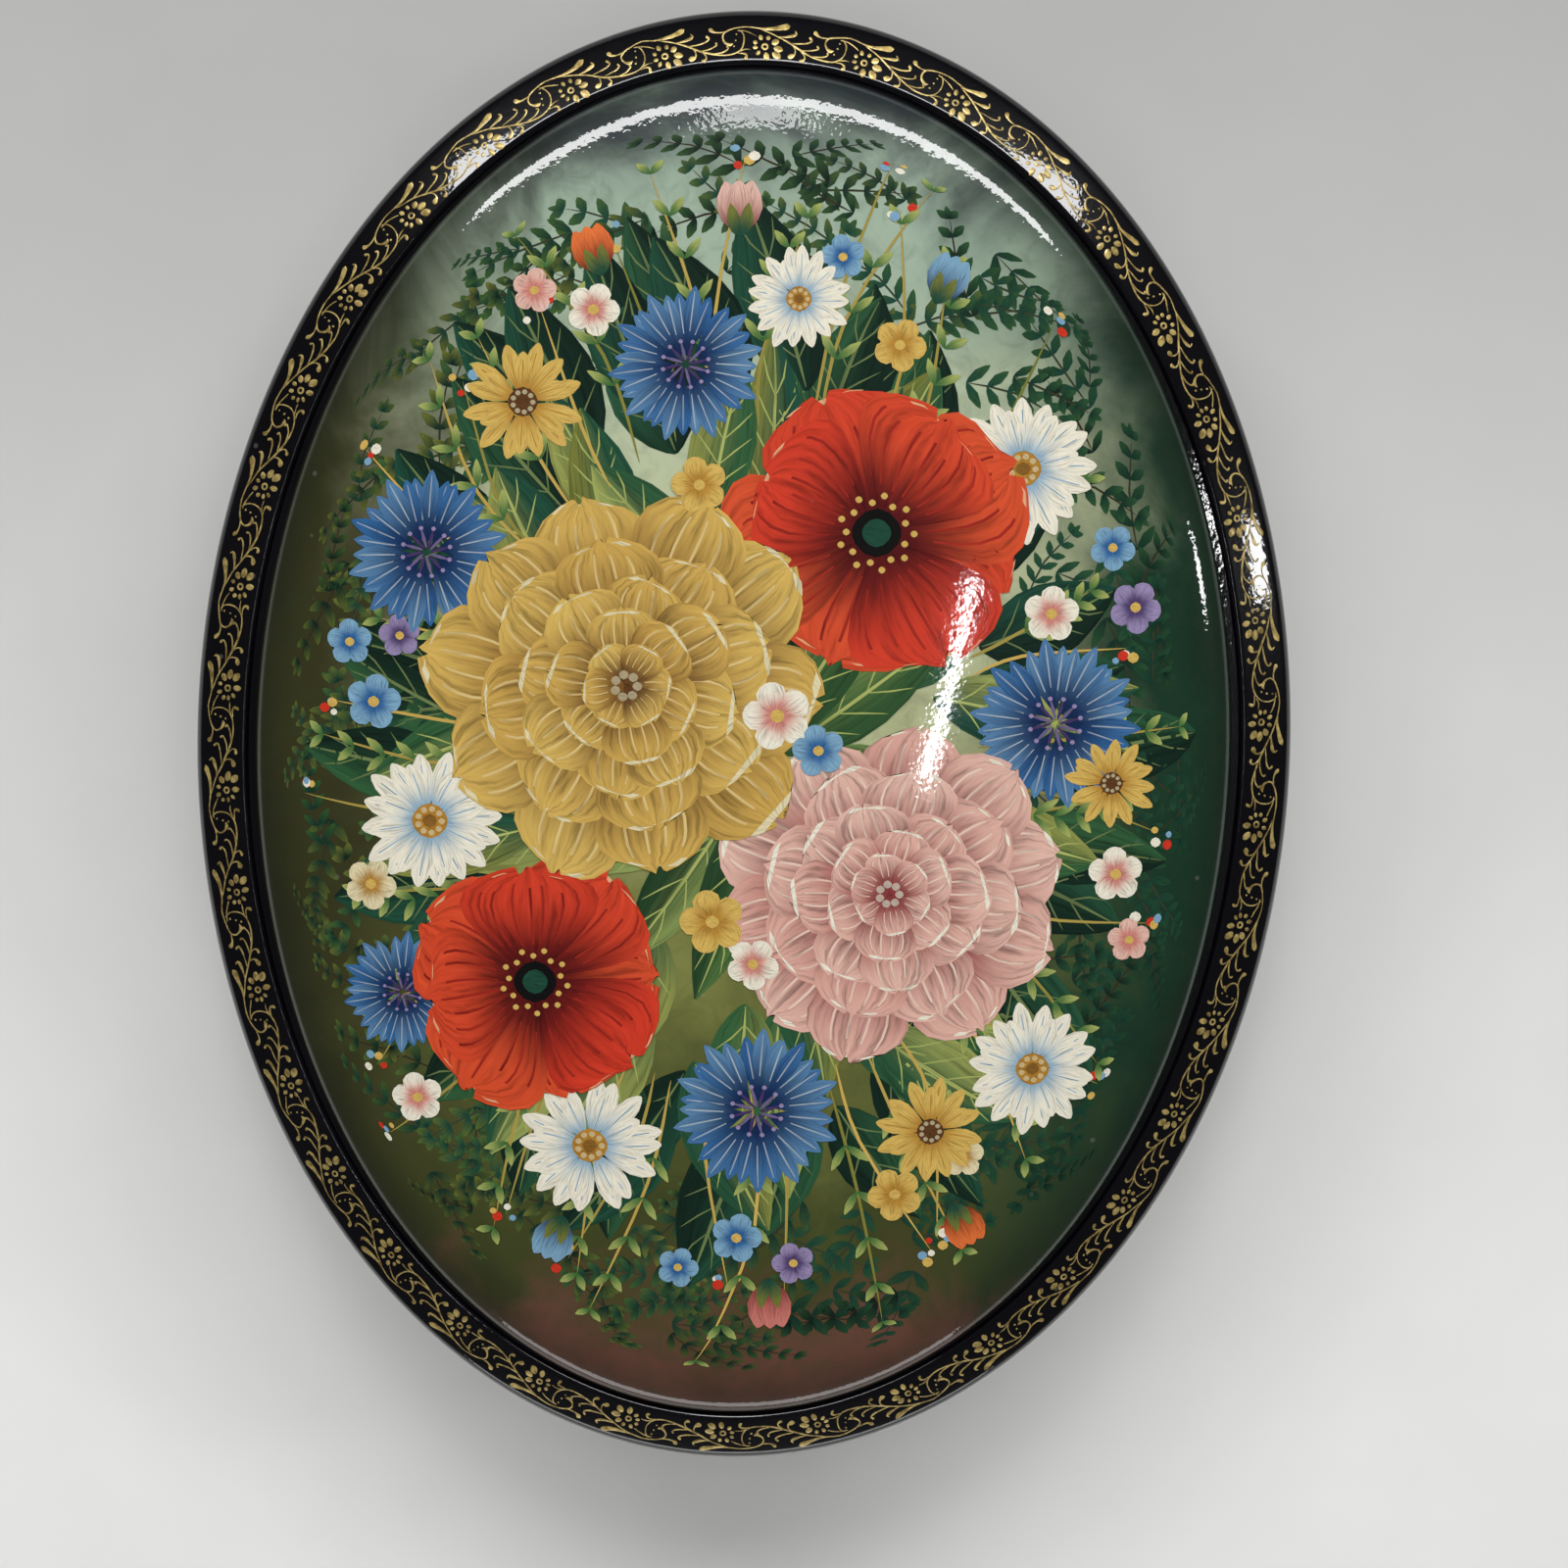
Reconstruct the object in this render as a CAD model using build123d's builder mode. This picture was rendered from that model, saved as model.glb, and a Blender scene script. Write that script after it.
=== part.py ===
from build123d import *
from math import cos, radians, sin, sqrt, tan
import os

# An oval papier-mache box with an overhanging, domed, hinged lid.
# Millimetres, +Z up, origin under the middle of the base. The long axis is Y and the hinge is at +Y.

# Plan: every oval is an ellipse that shares the lid's centre
lid_length = 200.0  # along Y
lid_width = 150.0  # along X
lid_overhang = 4.5  # lid past the wall
base_overhang = 2.0  # base past the wall
wall_thickness = 4.5
lip_thickness = 2.5

# Heights
base_thickness = 5.0
base_round = 1.6
wall_height = 36.0  # from the base to the mouth
lip_rise = 3.0  # lip above the mouth
arris = 0.5  # small round on handled edges

# Lid frame, in depths in from the lid's outline and heights above the mouth
rim_side = 1.8  # upright outer side
rim_round = 2.3
band_slope = 24.0  # degrees, straight from the round to the crown
crown_width = 1.3  # from the band's inner end to the groove
dome_side_inset = 8.6  # foot of the dome at the long sides
dome_end_inset = 7.9  # foot of the dome at the ends
foot_groove = 0.3  # between the frame's crown and the foot at the ends
ledge_height = 5.6
ledge_depth = 13.0
lip_play = 0.6  # between lip and rebate
lip_headroom = 0.5

# Dome: a superellipse from its foot to its crown
dome_rise = 8.6
dome_power = 2.6
dome_thickness = 3.6
dome_seat = 3.4  # width of the glued seat on the ledge
dome_steps = (0, 3, 7, 12, 18, 25, 33, 42, 52, 63, 75, 86)  # degrees along the profile

# Hinge
knuckle_radius = 1.6
hinge_drop = 1.2  # axis below the mouth
hinge_length = 24.0
middle_knuckle = 9.2
knuckle_gap = 0.3
pin_radius = 0.75
pin_running = 0.05
leaf_thickness = 0.8
body_tongue_inset = 3.6  # inner face of the tongue, in from the wall's outside
body_tongue_drop = 9.0
lid_tongue_inset = 3.1
lid_tongue_rise = 4.6
leaf_relief = 0.1  # body leaf below the mouth
glue_gap = 0.1  # round a leaf or pin in its slot
barrel_gap = 0.3  # round the knuckles
leaf_pin_radius = 0.6
leaf_pin_pitch = 8.0
leaf_pin_count = 3
body_leaf_pin_drop = 6.0
body_leaf_pin_cover = 1.3  # of wall left outside the pin
lid_leaf_pin_rise = 2.7
lid_leaf_pin_reach = 2.6  # past the tongue's inner face

# Worked out from the above
mouth = base_thickness + wall_height
lid_x = lid_width / 2
lid_y = lid_length / 2
wall_x = lid_x - lid_overhang
wall_y = lid_y - lid_overhang
bore_x = wall_x - wall_thickness
bore_y = wall_y - wall_thickness
lip_x = bore_x - lip_thickness
lip_y = bore_y - lip_thickness
rebate_depth = lid_overhang + wall_thickness - lip_play
rebate_height = lip_rise + lip_headroom
groove_depth = min(dome_side_inset, dome_end_inset) - foot_groove
band_depth = groove_depth - crown_width
band_run = band_depth - rim_round * (1 - sin(radians(band_slope)))
band_height = rim_side + rim_round * cos(radians(band_slope)) + band_run * tan(radians(band_slope))
dome_x = lid_x - dome_side_inset
dome_y = lid_y - dome_end_inset
ledge_top = mouth + ledge_height
hollow_x = dome_x - dome_seat
hollow_y = dome_y - dome_seat
hollow_rise = dome_rise - dome_thickness
hinge_y = wall_y
hinge_z = mouth - hinge_drop
barrel_clear = knuckle_radius + barrel_gap
middle_slot = middle_knuckle + 2 * knuckle_gap
body_tongue_y = hinge_y - body_tongue_inset
lid_tongue_y = hinge_y - lid_tongue_inset
leaf_span = hinge_length + 2 * glue_gap
leaf_slot = leaf_thickness + 2 * glue_gap
body_pin_row = (mouth - body_leaf_pin_drop, bore_x, bore_y, body_leaf_pin_cover)
lid_pin_row = (
    mouth + lid_leaf_pin_rise,
    lid_x - rebate_depth,
    lid_y - rebate_depth,
    lid_tongue_inset - lid_leaf_pin_reach,
)


def oval_y(half_x, half_y, x):
    return half_y * sqrt(1 - (x / half_x) ** 2)


def box_between(low, high, mode=Mode.ADD):
    size = [b - a for a, b in zip(low, high)]
    middle = tuple((a + b) / 2 for a, b in zip(low, high))
    with Locations(middle):
        Box(*size, mode=mode)


def barrel(radius, x_from, x_to, mode=Mode.ADD):
    with Locations(((x_from + x_to) / 2, hinge_y, hinge_z)):
        Cylinder(radius, abs(x_to - x_from), rotation=(0, 90, 0), mode=mode)


def superellipse_loft(half_x, half_y, z, rise, mode=Mode.ADD):
    # Ovals from the foot of the dome up to its crown.
    ovals = []
    for step in dome_steps:
        reach = cos(radians(step)) ** (2 / dome_power)
        height = rise * sin(radians(step)) ** (2 / dome_power)
        with BuildSketch(Plane.XY.offset(z + height)) as oval:
            Ellipse(half_x * reach, half_y * reach)
        ovals.append(oval.sketch)
    loft(sections=ovals, ruled=True, mode=mode)


def leaf_pins(z, start_x, start_y, end_inset, hole=False):
    # A row of pins along Y that start at an oval bore and run outward, or the holes for them.
    radius = leaf_pin_radius + pin_running if hole else leaf_pin_radius
    start_gap = -arris if hole else glue_gap
    end_gap = 0 if hole else glue_gap
    for i in range(leaf_pin_count):
        x = (i - (leaf_pin_count - 1) / 2) * leaf_pin_pitch
        y_from = oval_y(start_x, start_y, x) + start_gap
        y_to = hinge_y - end_inset - end_gap
        with Locations((x, (y_from + y_to) / 2, z)):
            Cylinder(
                radius, y_to - y_from, rotation=(90, 0, 0), mode=Mode.SUBTRACT if hole else Mode.ADD
            )


os.makedirs("parts", exist_ok=True)

# Bottom board
with BuildPart() as base_board:
    with BuildSketch():
        Ellipse(wall_x + base_overhang, wall_y + base_overhang)
    extrude(amount=base_thickness)
    fillet(base_board.edges(), base_round)
base_board.part.label = "base_board"
export_step(base_board.part, "parts/base_board.step")

# Outer wound tube, with the hinge leaf's slot and rebate in its mouth
with BuildPart() as body_wall:
    with BuildSketch(Plane.XY.offset(base_thickness)):
        Ellipse(wall_x, wall_y)
        Ellipse(bore_x, bore_y, mode=Mode.SUBTRACT)
    extrude(amount=wall_height)
    slot_low = body_tongue_y - glue_gap
    box_between(
        (-leaf_span / 2, slot_low, mouth - body_tongue_drop - glue_gap),
        (leaf_span / 2, slot_low + leaf_slot, mouth + arris),
        mode=Mode.SUBTRACT,
    )
    box_between(
        (-leaf_span / 2, slot_low, mouth - leaf_relief - leaf_thickness - glue_gap),
        (leaf_span / 2, wall_y + arris, mouth + arris),
        mode=Mode.SUBTRACT,
    )
    barrel(barrel_clear, -leaf_span / 2 - barrel_gap, leaf_span / 2 + barrel_gap, mode=Mode.SUBTRACT)
    leaf_pins(*body_pin_row, hole=True)
body_wall.part.label = "body_wall"
export_step(body_wall.part, "parts/body_wall.step")

# Inner wound tube, whose lip stands above the mouth
with BuildPart() as lip_ring:
    with BuildSketch(Plane.XY.offset(base_thickness)):
        Ellipse(bore_x, bore_y)
        Ellipse(lip_x, lip_y, mode=Mode.SUBTRACT)
    extrude(amount=wall_height + lip_rise)
    fillet(lip_ring.edges().group_by(Axis.Z)[-1], arris)
lip_ring.part.label = "lip_ring"
export_step(lip_ring.part, "parts/lip_ring.step")

# Lid frame: one section carried round the lid's outline
rim_plane = Plane(origin=(lid_x, 0, mouth), x_dir=(-1, 0, 0), z_dir=(0, 1, 0))
with BuildPart() as lid_rim:
    with BuildSketch(Plane.XY.offset(mouth), mode=Mode.PRIVATE) as outline:
        Ellipse(lid_x, lid_y)
    with BuildSketch(rim_plane):
        with BuildLine():
            Line((rebate_depth, 0), (arris, 0))
            ThreePointArc((arris, 0), (arris * (1 - sqrt(0.5)), arris * (1 - sqrt(0.5))), (0, arris))
            Line((0, arris), (0, rim_side))
            outer_round = CenterArc((rim_round, rim_side), rim_round, 180, band_slope - 90)
            band = Line(outer_round @ 1, (band_depth, band_height))
            Spline(band @ 1, (groove_depth, ledge_height), tangents=(band % 1, (1, -2)))
            Line((groove_depth, ledge_height), (ledge_depth, ledge_height))
            Line((ledge_depth, ledge_height), (ledge_depth, rebate_height))
            Line((ledge_depth, rebate_height), (rebate_depth, rebate_height))
            Line((rebate_depth, rebate_height), (rebate_depth, 0))
        make_face()
    sweep(path=outline.wire())
    tongue_low = lid_tongue_y - glue_gap
    box_between(
        (-leaf_span / 2, tongue_low, mouth - arris),
        (leaf_span / 2, tongue_low + leaf_slot, mouth + lid_tongue_rise + glue_gap),
        mode=Mode.SUBTRACT,
    )
    box_between(
        (-leaf_span / 2, tongue_low, mouth - arris),
        (leaf_span / 2, hinge_y + glue_gap, mouth + leaf_thickness + glue_gap),
        mode=Mode.SUBTRACT,
    )
    barrel(barrel_clear, -leaf_span / 2 - barrel_gap, leaf_span / 2 + barrel_gap, mode=Mode.SUBTRACT)
    leaf_pins(*lid_pin_row, hole=True)
lid_rim.part.label = "lid_rim"
export_step(lid_rim.part, "parts/lid_rim.step")

# Dome panel: crowned outside, hollow underneath, seated flat on the ledge
with BuildPart() as lid_dome:
    superellipse_loft(dome_x, dome_y, ledge_top, dome_rise)
    superellipse_loft(hollow_x, hollow_y, ledge_top, hollow_rise, mode=Mode.SUBTRACT)
lid_dome.part.label = "lid_dome"
export_step(lid_dome.part, "parts/lid_dome.step")

# Body leaf: tongue down into the wall, web along the rebate, the two outer knuckles
leaf_top = mouth - leaf_relief
with BuildPart() as body_hinge_leaf:
    box_between(
        (-hinge_length / 2, body_tongue_y, mouth - body_tongue_drop),
        (hinge_length / 2, body_tongue_y + leaf_thickness, leaf_top),
    )
    box_between(
        (-hinge_length / 2, body_tongue_y, leaf_top - leaf_thickness),
        (hinge_length / 2, hinge_y, leaf_top),
    )
    box_between(
        (-middle_slot / 2, hinge_y - barrel_clear, leaf_top - leaf_thickness),
        (middle_slot / 2, hinge_y, leaf_top),
        mode=Mode.SUBTRACT,
    )
    barrel(knuckle_radius, middle_slot / 2, hinge_length / 2)
    barrel(knuckle_radius, -hinge_length / 2, -middle_slot / 2)
    barrel(pin_radius + pin_running, -hinge_length / 2, hinge_length / 2, mode=Mode.SUBTRACT)
    leaf_pins(*body_pin_row, hole=True)
body_hinge_leaf.part.label = "body_hinge_leaf"
export_step(body_hinge_leaf.part, "parts/body_hinge_leaf.step")

# Lid leaf: tongue up into the rim, web along its underside, the middle knuckle
with BuildPart() as lid_hinge_leaf:
    box_between(
        (-hinge_length / 2, lid_tongue_y, mouth),
        (hinge_length / 2, lid_tongue_y + leaf_thickness, mouth + lid_tongue_rise),
    )
    box_between(
        (-hinge_length / 2, lid_tongue_y, mouth),
        (hinge_length / 2, hinge_y - barrel_clear, mouth + leaf_thickness),
    )
    box_between(
        (-middle_knuckle / 2, lid_tongue_y, mouth),
        (middle_knuckle / 2, hinge_y, mouth + leaf_thickness),
    )
    barrel(knuckle_radius, -middle_knuckle / 2, middle_knuckle / 2)
    barrel(pin_radius + pin_running, -middle_knuckle / 2, middle_knuckle / 2, mode=Mode.SUBTRACT)
    leaf_pins(*lid_pin_row, hole=True)
lid_hinge_leaf.part.label = "lid_hinge_leaf"
export_step(lid_hinge_leaf.part, "parts/lid_hinge_leaf.step")

# Pin through the three knuckles
with BuildPart() as hinge_pin:
    barrel(pin_radius, -hinge_length / 2, hinge_length / 2)
hinge_pin.part.label = "hinge_pin"
export_step(hinge_pin.part, "parts/hinge_pin.step")

# Pins that hold the leaves in their slots
with BuildPart() as body_leaf_pins:
    leaf_pins(*body_pin_row)
body_leaf_pins.part.label = "body_leaf_pins"
export_step(body_leaf_pins.part, "parts/body_leaf_pins.step")

with BuildPart() as lid_leaf_pins:
    leaf_pins(*lid_pin_row)
lid_leaf_pins.part.label = "lid_leaf_pins"
export_step(lid_leaf_pins.part, "parts/lid_leaf_pins.step")
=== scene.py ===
import bisect
import math
import random

import bmesh
import bpy
from mathutils import Matrix, Vector


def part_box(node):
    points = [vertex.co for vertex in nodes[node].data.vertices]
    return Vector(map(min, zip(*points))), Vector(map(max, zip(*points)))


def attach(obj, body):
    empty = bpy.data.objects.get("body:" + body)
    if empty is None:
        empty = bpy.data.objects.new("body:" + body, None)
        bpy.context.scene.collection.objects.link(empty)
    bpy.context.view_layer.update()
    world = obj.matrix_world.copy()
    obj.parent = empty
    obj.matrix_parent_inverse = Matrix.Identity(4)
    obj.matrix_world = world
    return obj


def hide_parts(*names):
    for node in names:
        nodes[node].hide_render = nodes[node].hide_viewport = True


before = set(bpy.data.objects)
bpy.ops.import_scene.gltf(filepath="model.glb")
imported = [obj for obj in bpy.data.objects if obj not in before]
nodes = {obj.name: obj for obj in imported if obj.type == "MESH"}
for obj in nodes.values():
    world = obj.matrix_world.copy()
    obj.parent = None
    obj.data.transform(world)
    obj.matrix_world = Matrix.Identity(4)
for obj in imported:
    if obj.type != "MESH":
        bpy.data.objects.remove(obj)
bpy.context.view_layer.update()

mm = 0.001
scene = bpy.context.scene
rimLow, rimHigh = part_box("lid_rim")
domeLow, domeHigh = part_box("lid_dome")
baseLow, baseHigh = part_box("base_board")
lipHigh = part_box("lip_ring")[1]
pinLow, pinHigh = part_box("hinge_pin")


# Small helpers

def lerp(a, b, t):
    return a + (b - a) * t


def smooth(low, high, value):
    t = min(max((value - low) / (high - low), 0.0), 1.0)
    return t * t * (3 - 2 * t)


def mix(a, b, t):
    return tuple(lerp(p, q, t) for p, q in zip(a, b))


def shade(colour, factor):
    return tuple(channel * factor for channel in colour)


def paintColour(*screen):
    # screen values, 0 to 255, to linear light
    shares = [value / 255 for value in screen]
    return tuple(c / 12.92 if c < 0.0405 else ((c + 0.055) / 1.055) ** 2.4 for c in shares)


def addPiece(name, bm, materials, body, replaced=()):
    mesh = bpy.data.meshes.new(name)
    bm.to_mesh(mesh)
    bm.free()
    for material in materials:
        mesh.materials.append(material)
    piece = bpy.data.objects.new(name, mesh)
    scene.collection.objects.link(piece)
    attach(piece, body)
    if replaced:
        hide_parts(*replaced)
    print(name, "triangles", sum(len(p.vertices) - 2 for p in mesh.polygons))
    return piece


# Shader nodes

def newMaterial(name):
    material = bpy.data.materials.new(name)
    material.use_nodes = True
    tree = material.node_tree
    return material, tree, tree.nodes["Principled BSDF"]


def addNode(tree, kind, **values):
    node = tree.nodes.new(kind)
    for key, value in values.items():
        if hasattr(node, key):
            setattr(node, key, value)
        else:
            node.inputs[key].default_value = value
    return node


def objectPlace(tree):
    return addNode(tree, "ShaderNodeTexCoord").outputs["Object"]


def addNoise(tree, place, scale, detail, rough=0.5, distortion=0.0):
    node = addNode(tree, "ShaderNodeTexNoise", Scale=scale, Detail=detail, Roughness=rough,
                   Distortion=distortion)
    tree.links.new(place, node.inputs["Vector"])
    return node.outputs["Fac"]


def addStretch(tree, place, scale, turn=0.0):
    node = addNode(tree, "ShaderNodeMapping", Scale=scale, Rotation=(0, 0, turn))
    tree.links.new(place, node.inputs["Vector"])
    return node.outputs[0]


def addMath(tree, operation, a, b=None):
    node = tree.nodes.new("ShaderNodeMath")
    node.operation = operation
    for socket, value in zip(node.inputs, (a, b)):
        if value is None:
            continue
        if isinstance(value, (int, float)):
            socket.default_value = value
        else:
            tree.links.new(value, socket)
    return node.outputs[0]


def addRange(tree, value, low, high, start=0.0, end=1.0):
    node = tree.nodes.new("ShaderNodeMapRange")
    node.interpolation_type = "SMOOTHSTEP"
    for key, number in (("From Min", low), ("From Max", high), ("To Min", start), ("To Max", end)):
        node.inputs[key].default_value = number
    tree.links.new(value, node.inputs["Value"])
    return node.outputs["Result"]


def addBlend(tree, factor, a, b, kind="MIX"):
    node = tree.nodes.new("ShaderNodeMix")
    node.data_type = "RGBA"
    node.blend_type = kind
    for socket, value in ((node.inputs[0], factor), (node.inputs[6], a), (node.inputs[7], b)):
        if isinstance(value, (int, float)):
            socket.default_value = value
        elif isinstance(value, tuple):
            socket.default_value = (*value, 1)
        else:
            tree.links.new(value, socket)
    return node.outputs[2]


def addBump(tree, height, look):
    node = addNode(tree, "ShaderNodeBump", Strength=look["strength"], Distance=look["depth"])
    tree.links.new(height, node.inputs["Height"])
    return node.outputs["Normal"]


def noiseColour(tree, grain, spread, a, b):
    # grain: scale, detail and roughness; spread: where one colour ends and the other begins
    cloud = addNoise(tree, objectPlace(tree), *grain)
    return addBlend(tree, addRange(tree, cloud, *spread), a, b)


def newGroup(name, inputs, outputs):
    group = bpy.data.node_groups.new(name, "ShaderNodeTree")
    for way, labels in (("INPUT", inputs), ("OUTPUT", outputs)):
        for label in labels:
            group.interface.new_socket(label, in_out=way, socket_type="NodeSocketFloat")
    return group, group.nodes.new("NodeGroupInput"), group.nodes.new("NodeGroupOutput")


def useGroup(tree, group, **values):
    node = tree.nodes.new("ShaderNodeGroup")
    node.node_tree = group
    for label, value in values.items():
        if isinstance(value, (int, float)):
            node.inputs[label].default_value = value
        else:
            tree.links.new(value, node.inputs[label])
    return node


# Lacquer skin: what every varnished surface shares

skinLook = {
    # scale, detail, roughness and share of each noise in the orange peel
    "waves": [(420.0, 2.0, 0.45, 1.0), (70.0, 1.0, 0.4, 2.4), (1500.0, 1.0, 0.4, 1.6)],
    "rubs": [(0.35, (60, 5200, 60)), (-0.9, (45, 4300, 45)), (1.5, (70, 6100, 70))],  # turn, stretch
    "rubLine": (0.69, 0.76),
    "nibScale": 240.0,
    "nibSize": (0.11, 0.05),
    "nibChance": 0.86,
    "nibHeight": 0.6,
    "nibShow": 0.35,
    "nibColour": (0.32, 0.31, 0.29),
    "rubRough": 0.25,
    "bump": {"strength": 0.35, "depth": 0.04 * mm},
    "bodyShine": 0.08,  # of the colour under the coat
}


def makeLacquerSkin():
    # soft orange peel, hairline rubs and a few dust nibs under the varnish
    group, come, go = newGroup("lacquerSkin", ("Peel", "Rubs", "Dust"), ("Height", "Rub", "Nib"))
    place = objectPlace(group)
    waves, rubs = 0.0, 0.0
    for scale, detail, rough, share in skinLook["waves"]:
        wave = addMath(group, "MULTIPLY", addNoise(group, place, scale, detail, rough), share)
        waves = addMath(group, "ADD", waves, wave)
    for turn, stretch in skinLook["rubs"]:
        hair = addNoise(group, addStretch(group, place, stretch, turn), 1.0, 1.0)
        rubs = addMath(group, "MAXIMUM", rubs, addRange(group, hair, *skinLook["rubLine"]))
    nib = addNode(group, "ShaderNodeTexVoronoi", Scale=skinLook["nibScale"])
    group.links.new(place, nib.inputs["Vector"])
    chance = addNode(group, "ShaderNodeSeparateColor")
    group.links.new(nib.outputs["Color"], chance.inputs[0])
    chosen = addMath(group, "GREATER_THAN", chance.outputs[0], skinLook["nibChance"])
    speck = addRange(group, nib.outputs["Distance"], *skinLook["nibSize"])
    speck = addMath(group, "MULTIPLY", addMath(group, "MULTIPLY", speck, chosen), come.outputs["Dust"])
    height = addMath(group, "MULTIPLY", waves, come.outputs["Peel"])
    height = addMath(group, "ADD", height, addMath(group, "MULTIPLY", speck, skinLook["nibHeight"]))
    rubs = addMath(group, "MULTIPLY", rubs, come.outputs["Rubs"])
    for label, value in (("Height", height), ("Rub", rubs), ("Nib", speck)):
        group.links.new(value, go.inputs[label])
    return group


lacquerSkin = makeLacquerSkin()


def varnish(tree, shader, colour, peel, rubs, dust, rough, coatRough):
    # colour below, clear coat above
    skin = useGroup(tree, lacquerSkin, Peel=peel, Rubs=rubs, Dust=dust)
    nib = addMath(tree, "MULTIPLY", skin.outputs["Nib"], skinLook["nibShow"])
    rubbed = addMath(tree, "MULTIPLY", skin.outputs["Rub"], skinLook["rubRough"])
    lift = addBump(tree, skin.outputs["Height"], skinLook["bump"])
    tree.links.new(addBlend(tree, nib, colour, skinLook["nibColour"]), shader.inputs["Base Color"])
    tree.links.new(addMath(tree, "ADD", rubbed, rough), shader.inputs["Roughness"])
    tree.links.new(lift, shader.inputs["Normal"])
    tree.links.new(lift, shader.inputs["Coat Normal"])
    shader.inputs["Specular IOR Level"].default_value = skinLook["bodyShine"]
    shader.inputs["Coat Weight"].default_value = 1.0
    shader.inputs["Coat Roughness"].default_value = coatRough


# Plain lacquers, and the border's shell gold: part metal, part body colour, thinner at places

lacquers = {
    "blackLacquer": {
        "grain": (36.0, 4.0, 0.55),
        "spread": (0.3, 0.75),
        "dark": (0.0009, 0.0007, 0.0018),
        "light": (0.0024, 0.0020, 0.0038),
        "varnish": {"peel": 0.35, "rubs": 0.45, "dust": 0.5, "rough": 0.22, "coatRough": 0.035},
    },
    "redLacquer": {
        "grain": (48.0, 5.0, 0.55),
        "spread": (0.3, 0.75),
        "dark": (0.31, 0.011, 0.008),
        "light": (0.44, 0.021, 0.013),
        "varnish": {"peel": 0.45, "rubs": 0.6, "dust": 0.6, "rough": 0.3, "coatRough": 0.09},
    },
    "goldPaint": {
        "grain": (900.0, 4.0, 0.65),
        "spread": (0.32, 0.7),
        "dark": (0.23, 0.16, 0.048),
        "light": (0.68, 0.52, 0.19),
        "varnish": {"peel": 0.25, "rubs": 0.2, "dust": 0.1, "rough": 0.36, "coatRough": 0.07},
        "metal": 0.45,
        "coat": 0.45,
    },
}


def makeLacquer(name):
    look = lacquers[name]
    material, tree, shader = newMaterial(name)
    colour = noiseColour(tree, look["grain"], look["spread"], look["dark"], look["light"])
    varnish(tree, shader, colour, **look["varnish"])
    shader.inputs["Metallic"].default_value = look.get("metal", 0.0)
    shader.inputs["Coat Weight"].default_value = look.get("coat", 1.0)
    return material


# Metals of the hinge

metals = {
    "agedBrass": {"pale": (0.62, 0.42, 0.16), "dark": (0.26, 0.15, 0.05), "rough": 0.26},
    "pinSteel": {"pale": (0.50, 0.50, 0.51), "dark": (0.24, 0.23, 0.22), "rough": 0.3},
}
metalLook = {
    "tarnish": (420.0, 5.0, 0.6),
    "spread": (0.4, 0.72),
    "brushed": (300, 9000, 9000),
    "brushSpread": (0.3, 0.7),
    "roughMore": 0.16,
    "bump": {"strength": 0.25, "depth": 0.03 * mm},
}


def makeMetal(name):
    material, tree, shader = newMaterial(name)
    pale, dark, rough = metals[name]["pale"], metals[name]["dark"], metals[name]["rough"]
    colour = noiseColour(tree, metalLook["tarnish"], metalLook["spread"], pale, dark)
    lines = addNoise(tree, addStretch(tree, objectPlace(tree), metalLook["brushed"]), 1.0, 2.0)
    worn = addRange(tree, lines, *metalLook["brushSpread"], rough, rough + metalLook["roughMore"])
    tree.links.new(colour, shader.inputs["Base Color"])
    tree.links.new(worn, shader.inputs["Roughness"])
    tree.links.new(addBump(tree, lines, metalLook["bump"]), shader.inputs["Normal"])
    shader.inputs["Metallic"].default_value = 1.0
    return material


# Ground of the painting: soft zones of colour that drift into each other

groundLook = {
    "clouds": (42.0, 5.0, 0.55, 0.8),
    "dabs": (210.0, 4.0, 0.6, 1.2),
    "drift": 0.55,
    "edgeDrift": 0.25,
    "pale": paintColour(196, 202, 162),
    "low": paintColour(62, 68, 32),
    "left": paintColour(54, 54, 28),
    # colours that come in over these: from where to where, how strongly, and the colour
    "paleHigh": ((0.25, 0.8), paintColour(160, 180, 160)),
    # painted reflection: slate grey over the top of the ground, standing in for the dark reflection beside
    # the highlight arc at the top
    "paintedTopReflection": ((0.75, 1.0), paintColour(58, 66, 74)),
    "lowHigh": ((-0.8, -0.1), paintColour(128, 132, 70)),
    "foot": ((-0.74, -0.95), paintColour(104, 68, 56)),
    "right": ((-0.3, 0.3), paintColour(22, 54, 38)),
    "dabbed": ((0.42, 0.78, 0.0, 0.3), paintColour(46, 64, 36)),
    "edge": ((0.88, 1.0, 0.0, 0.6), paintColour(22, 28, 20)),
    "middle": (-0.25, 0.3),
    "sides": (0.34, 0.84),
    # the varnish pulled uneven on the shoulder, and runs smoother again at the foot
    "uneven": (0.86, 0.92, 0.17, 1.4),
    "calm": (0.935, 0.965, 1.0, 0.35),
    "varnish": {"rubs": 0.35, "dust": 0.5, "rough": 0.34, "coatRough": 0.035},
}


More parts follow.
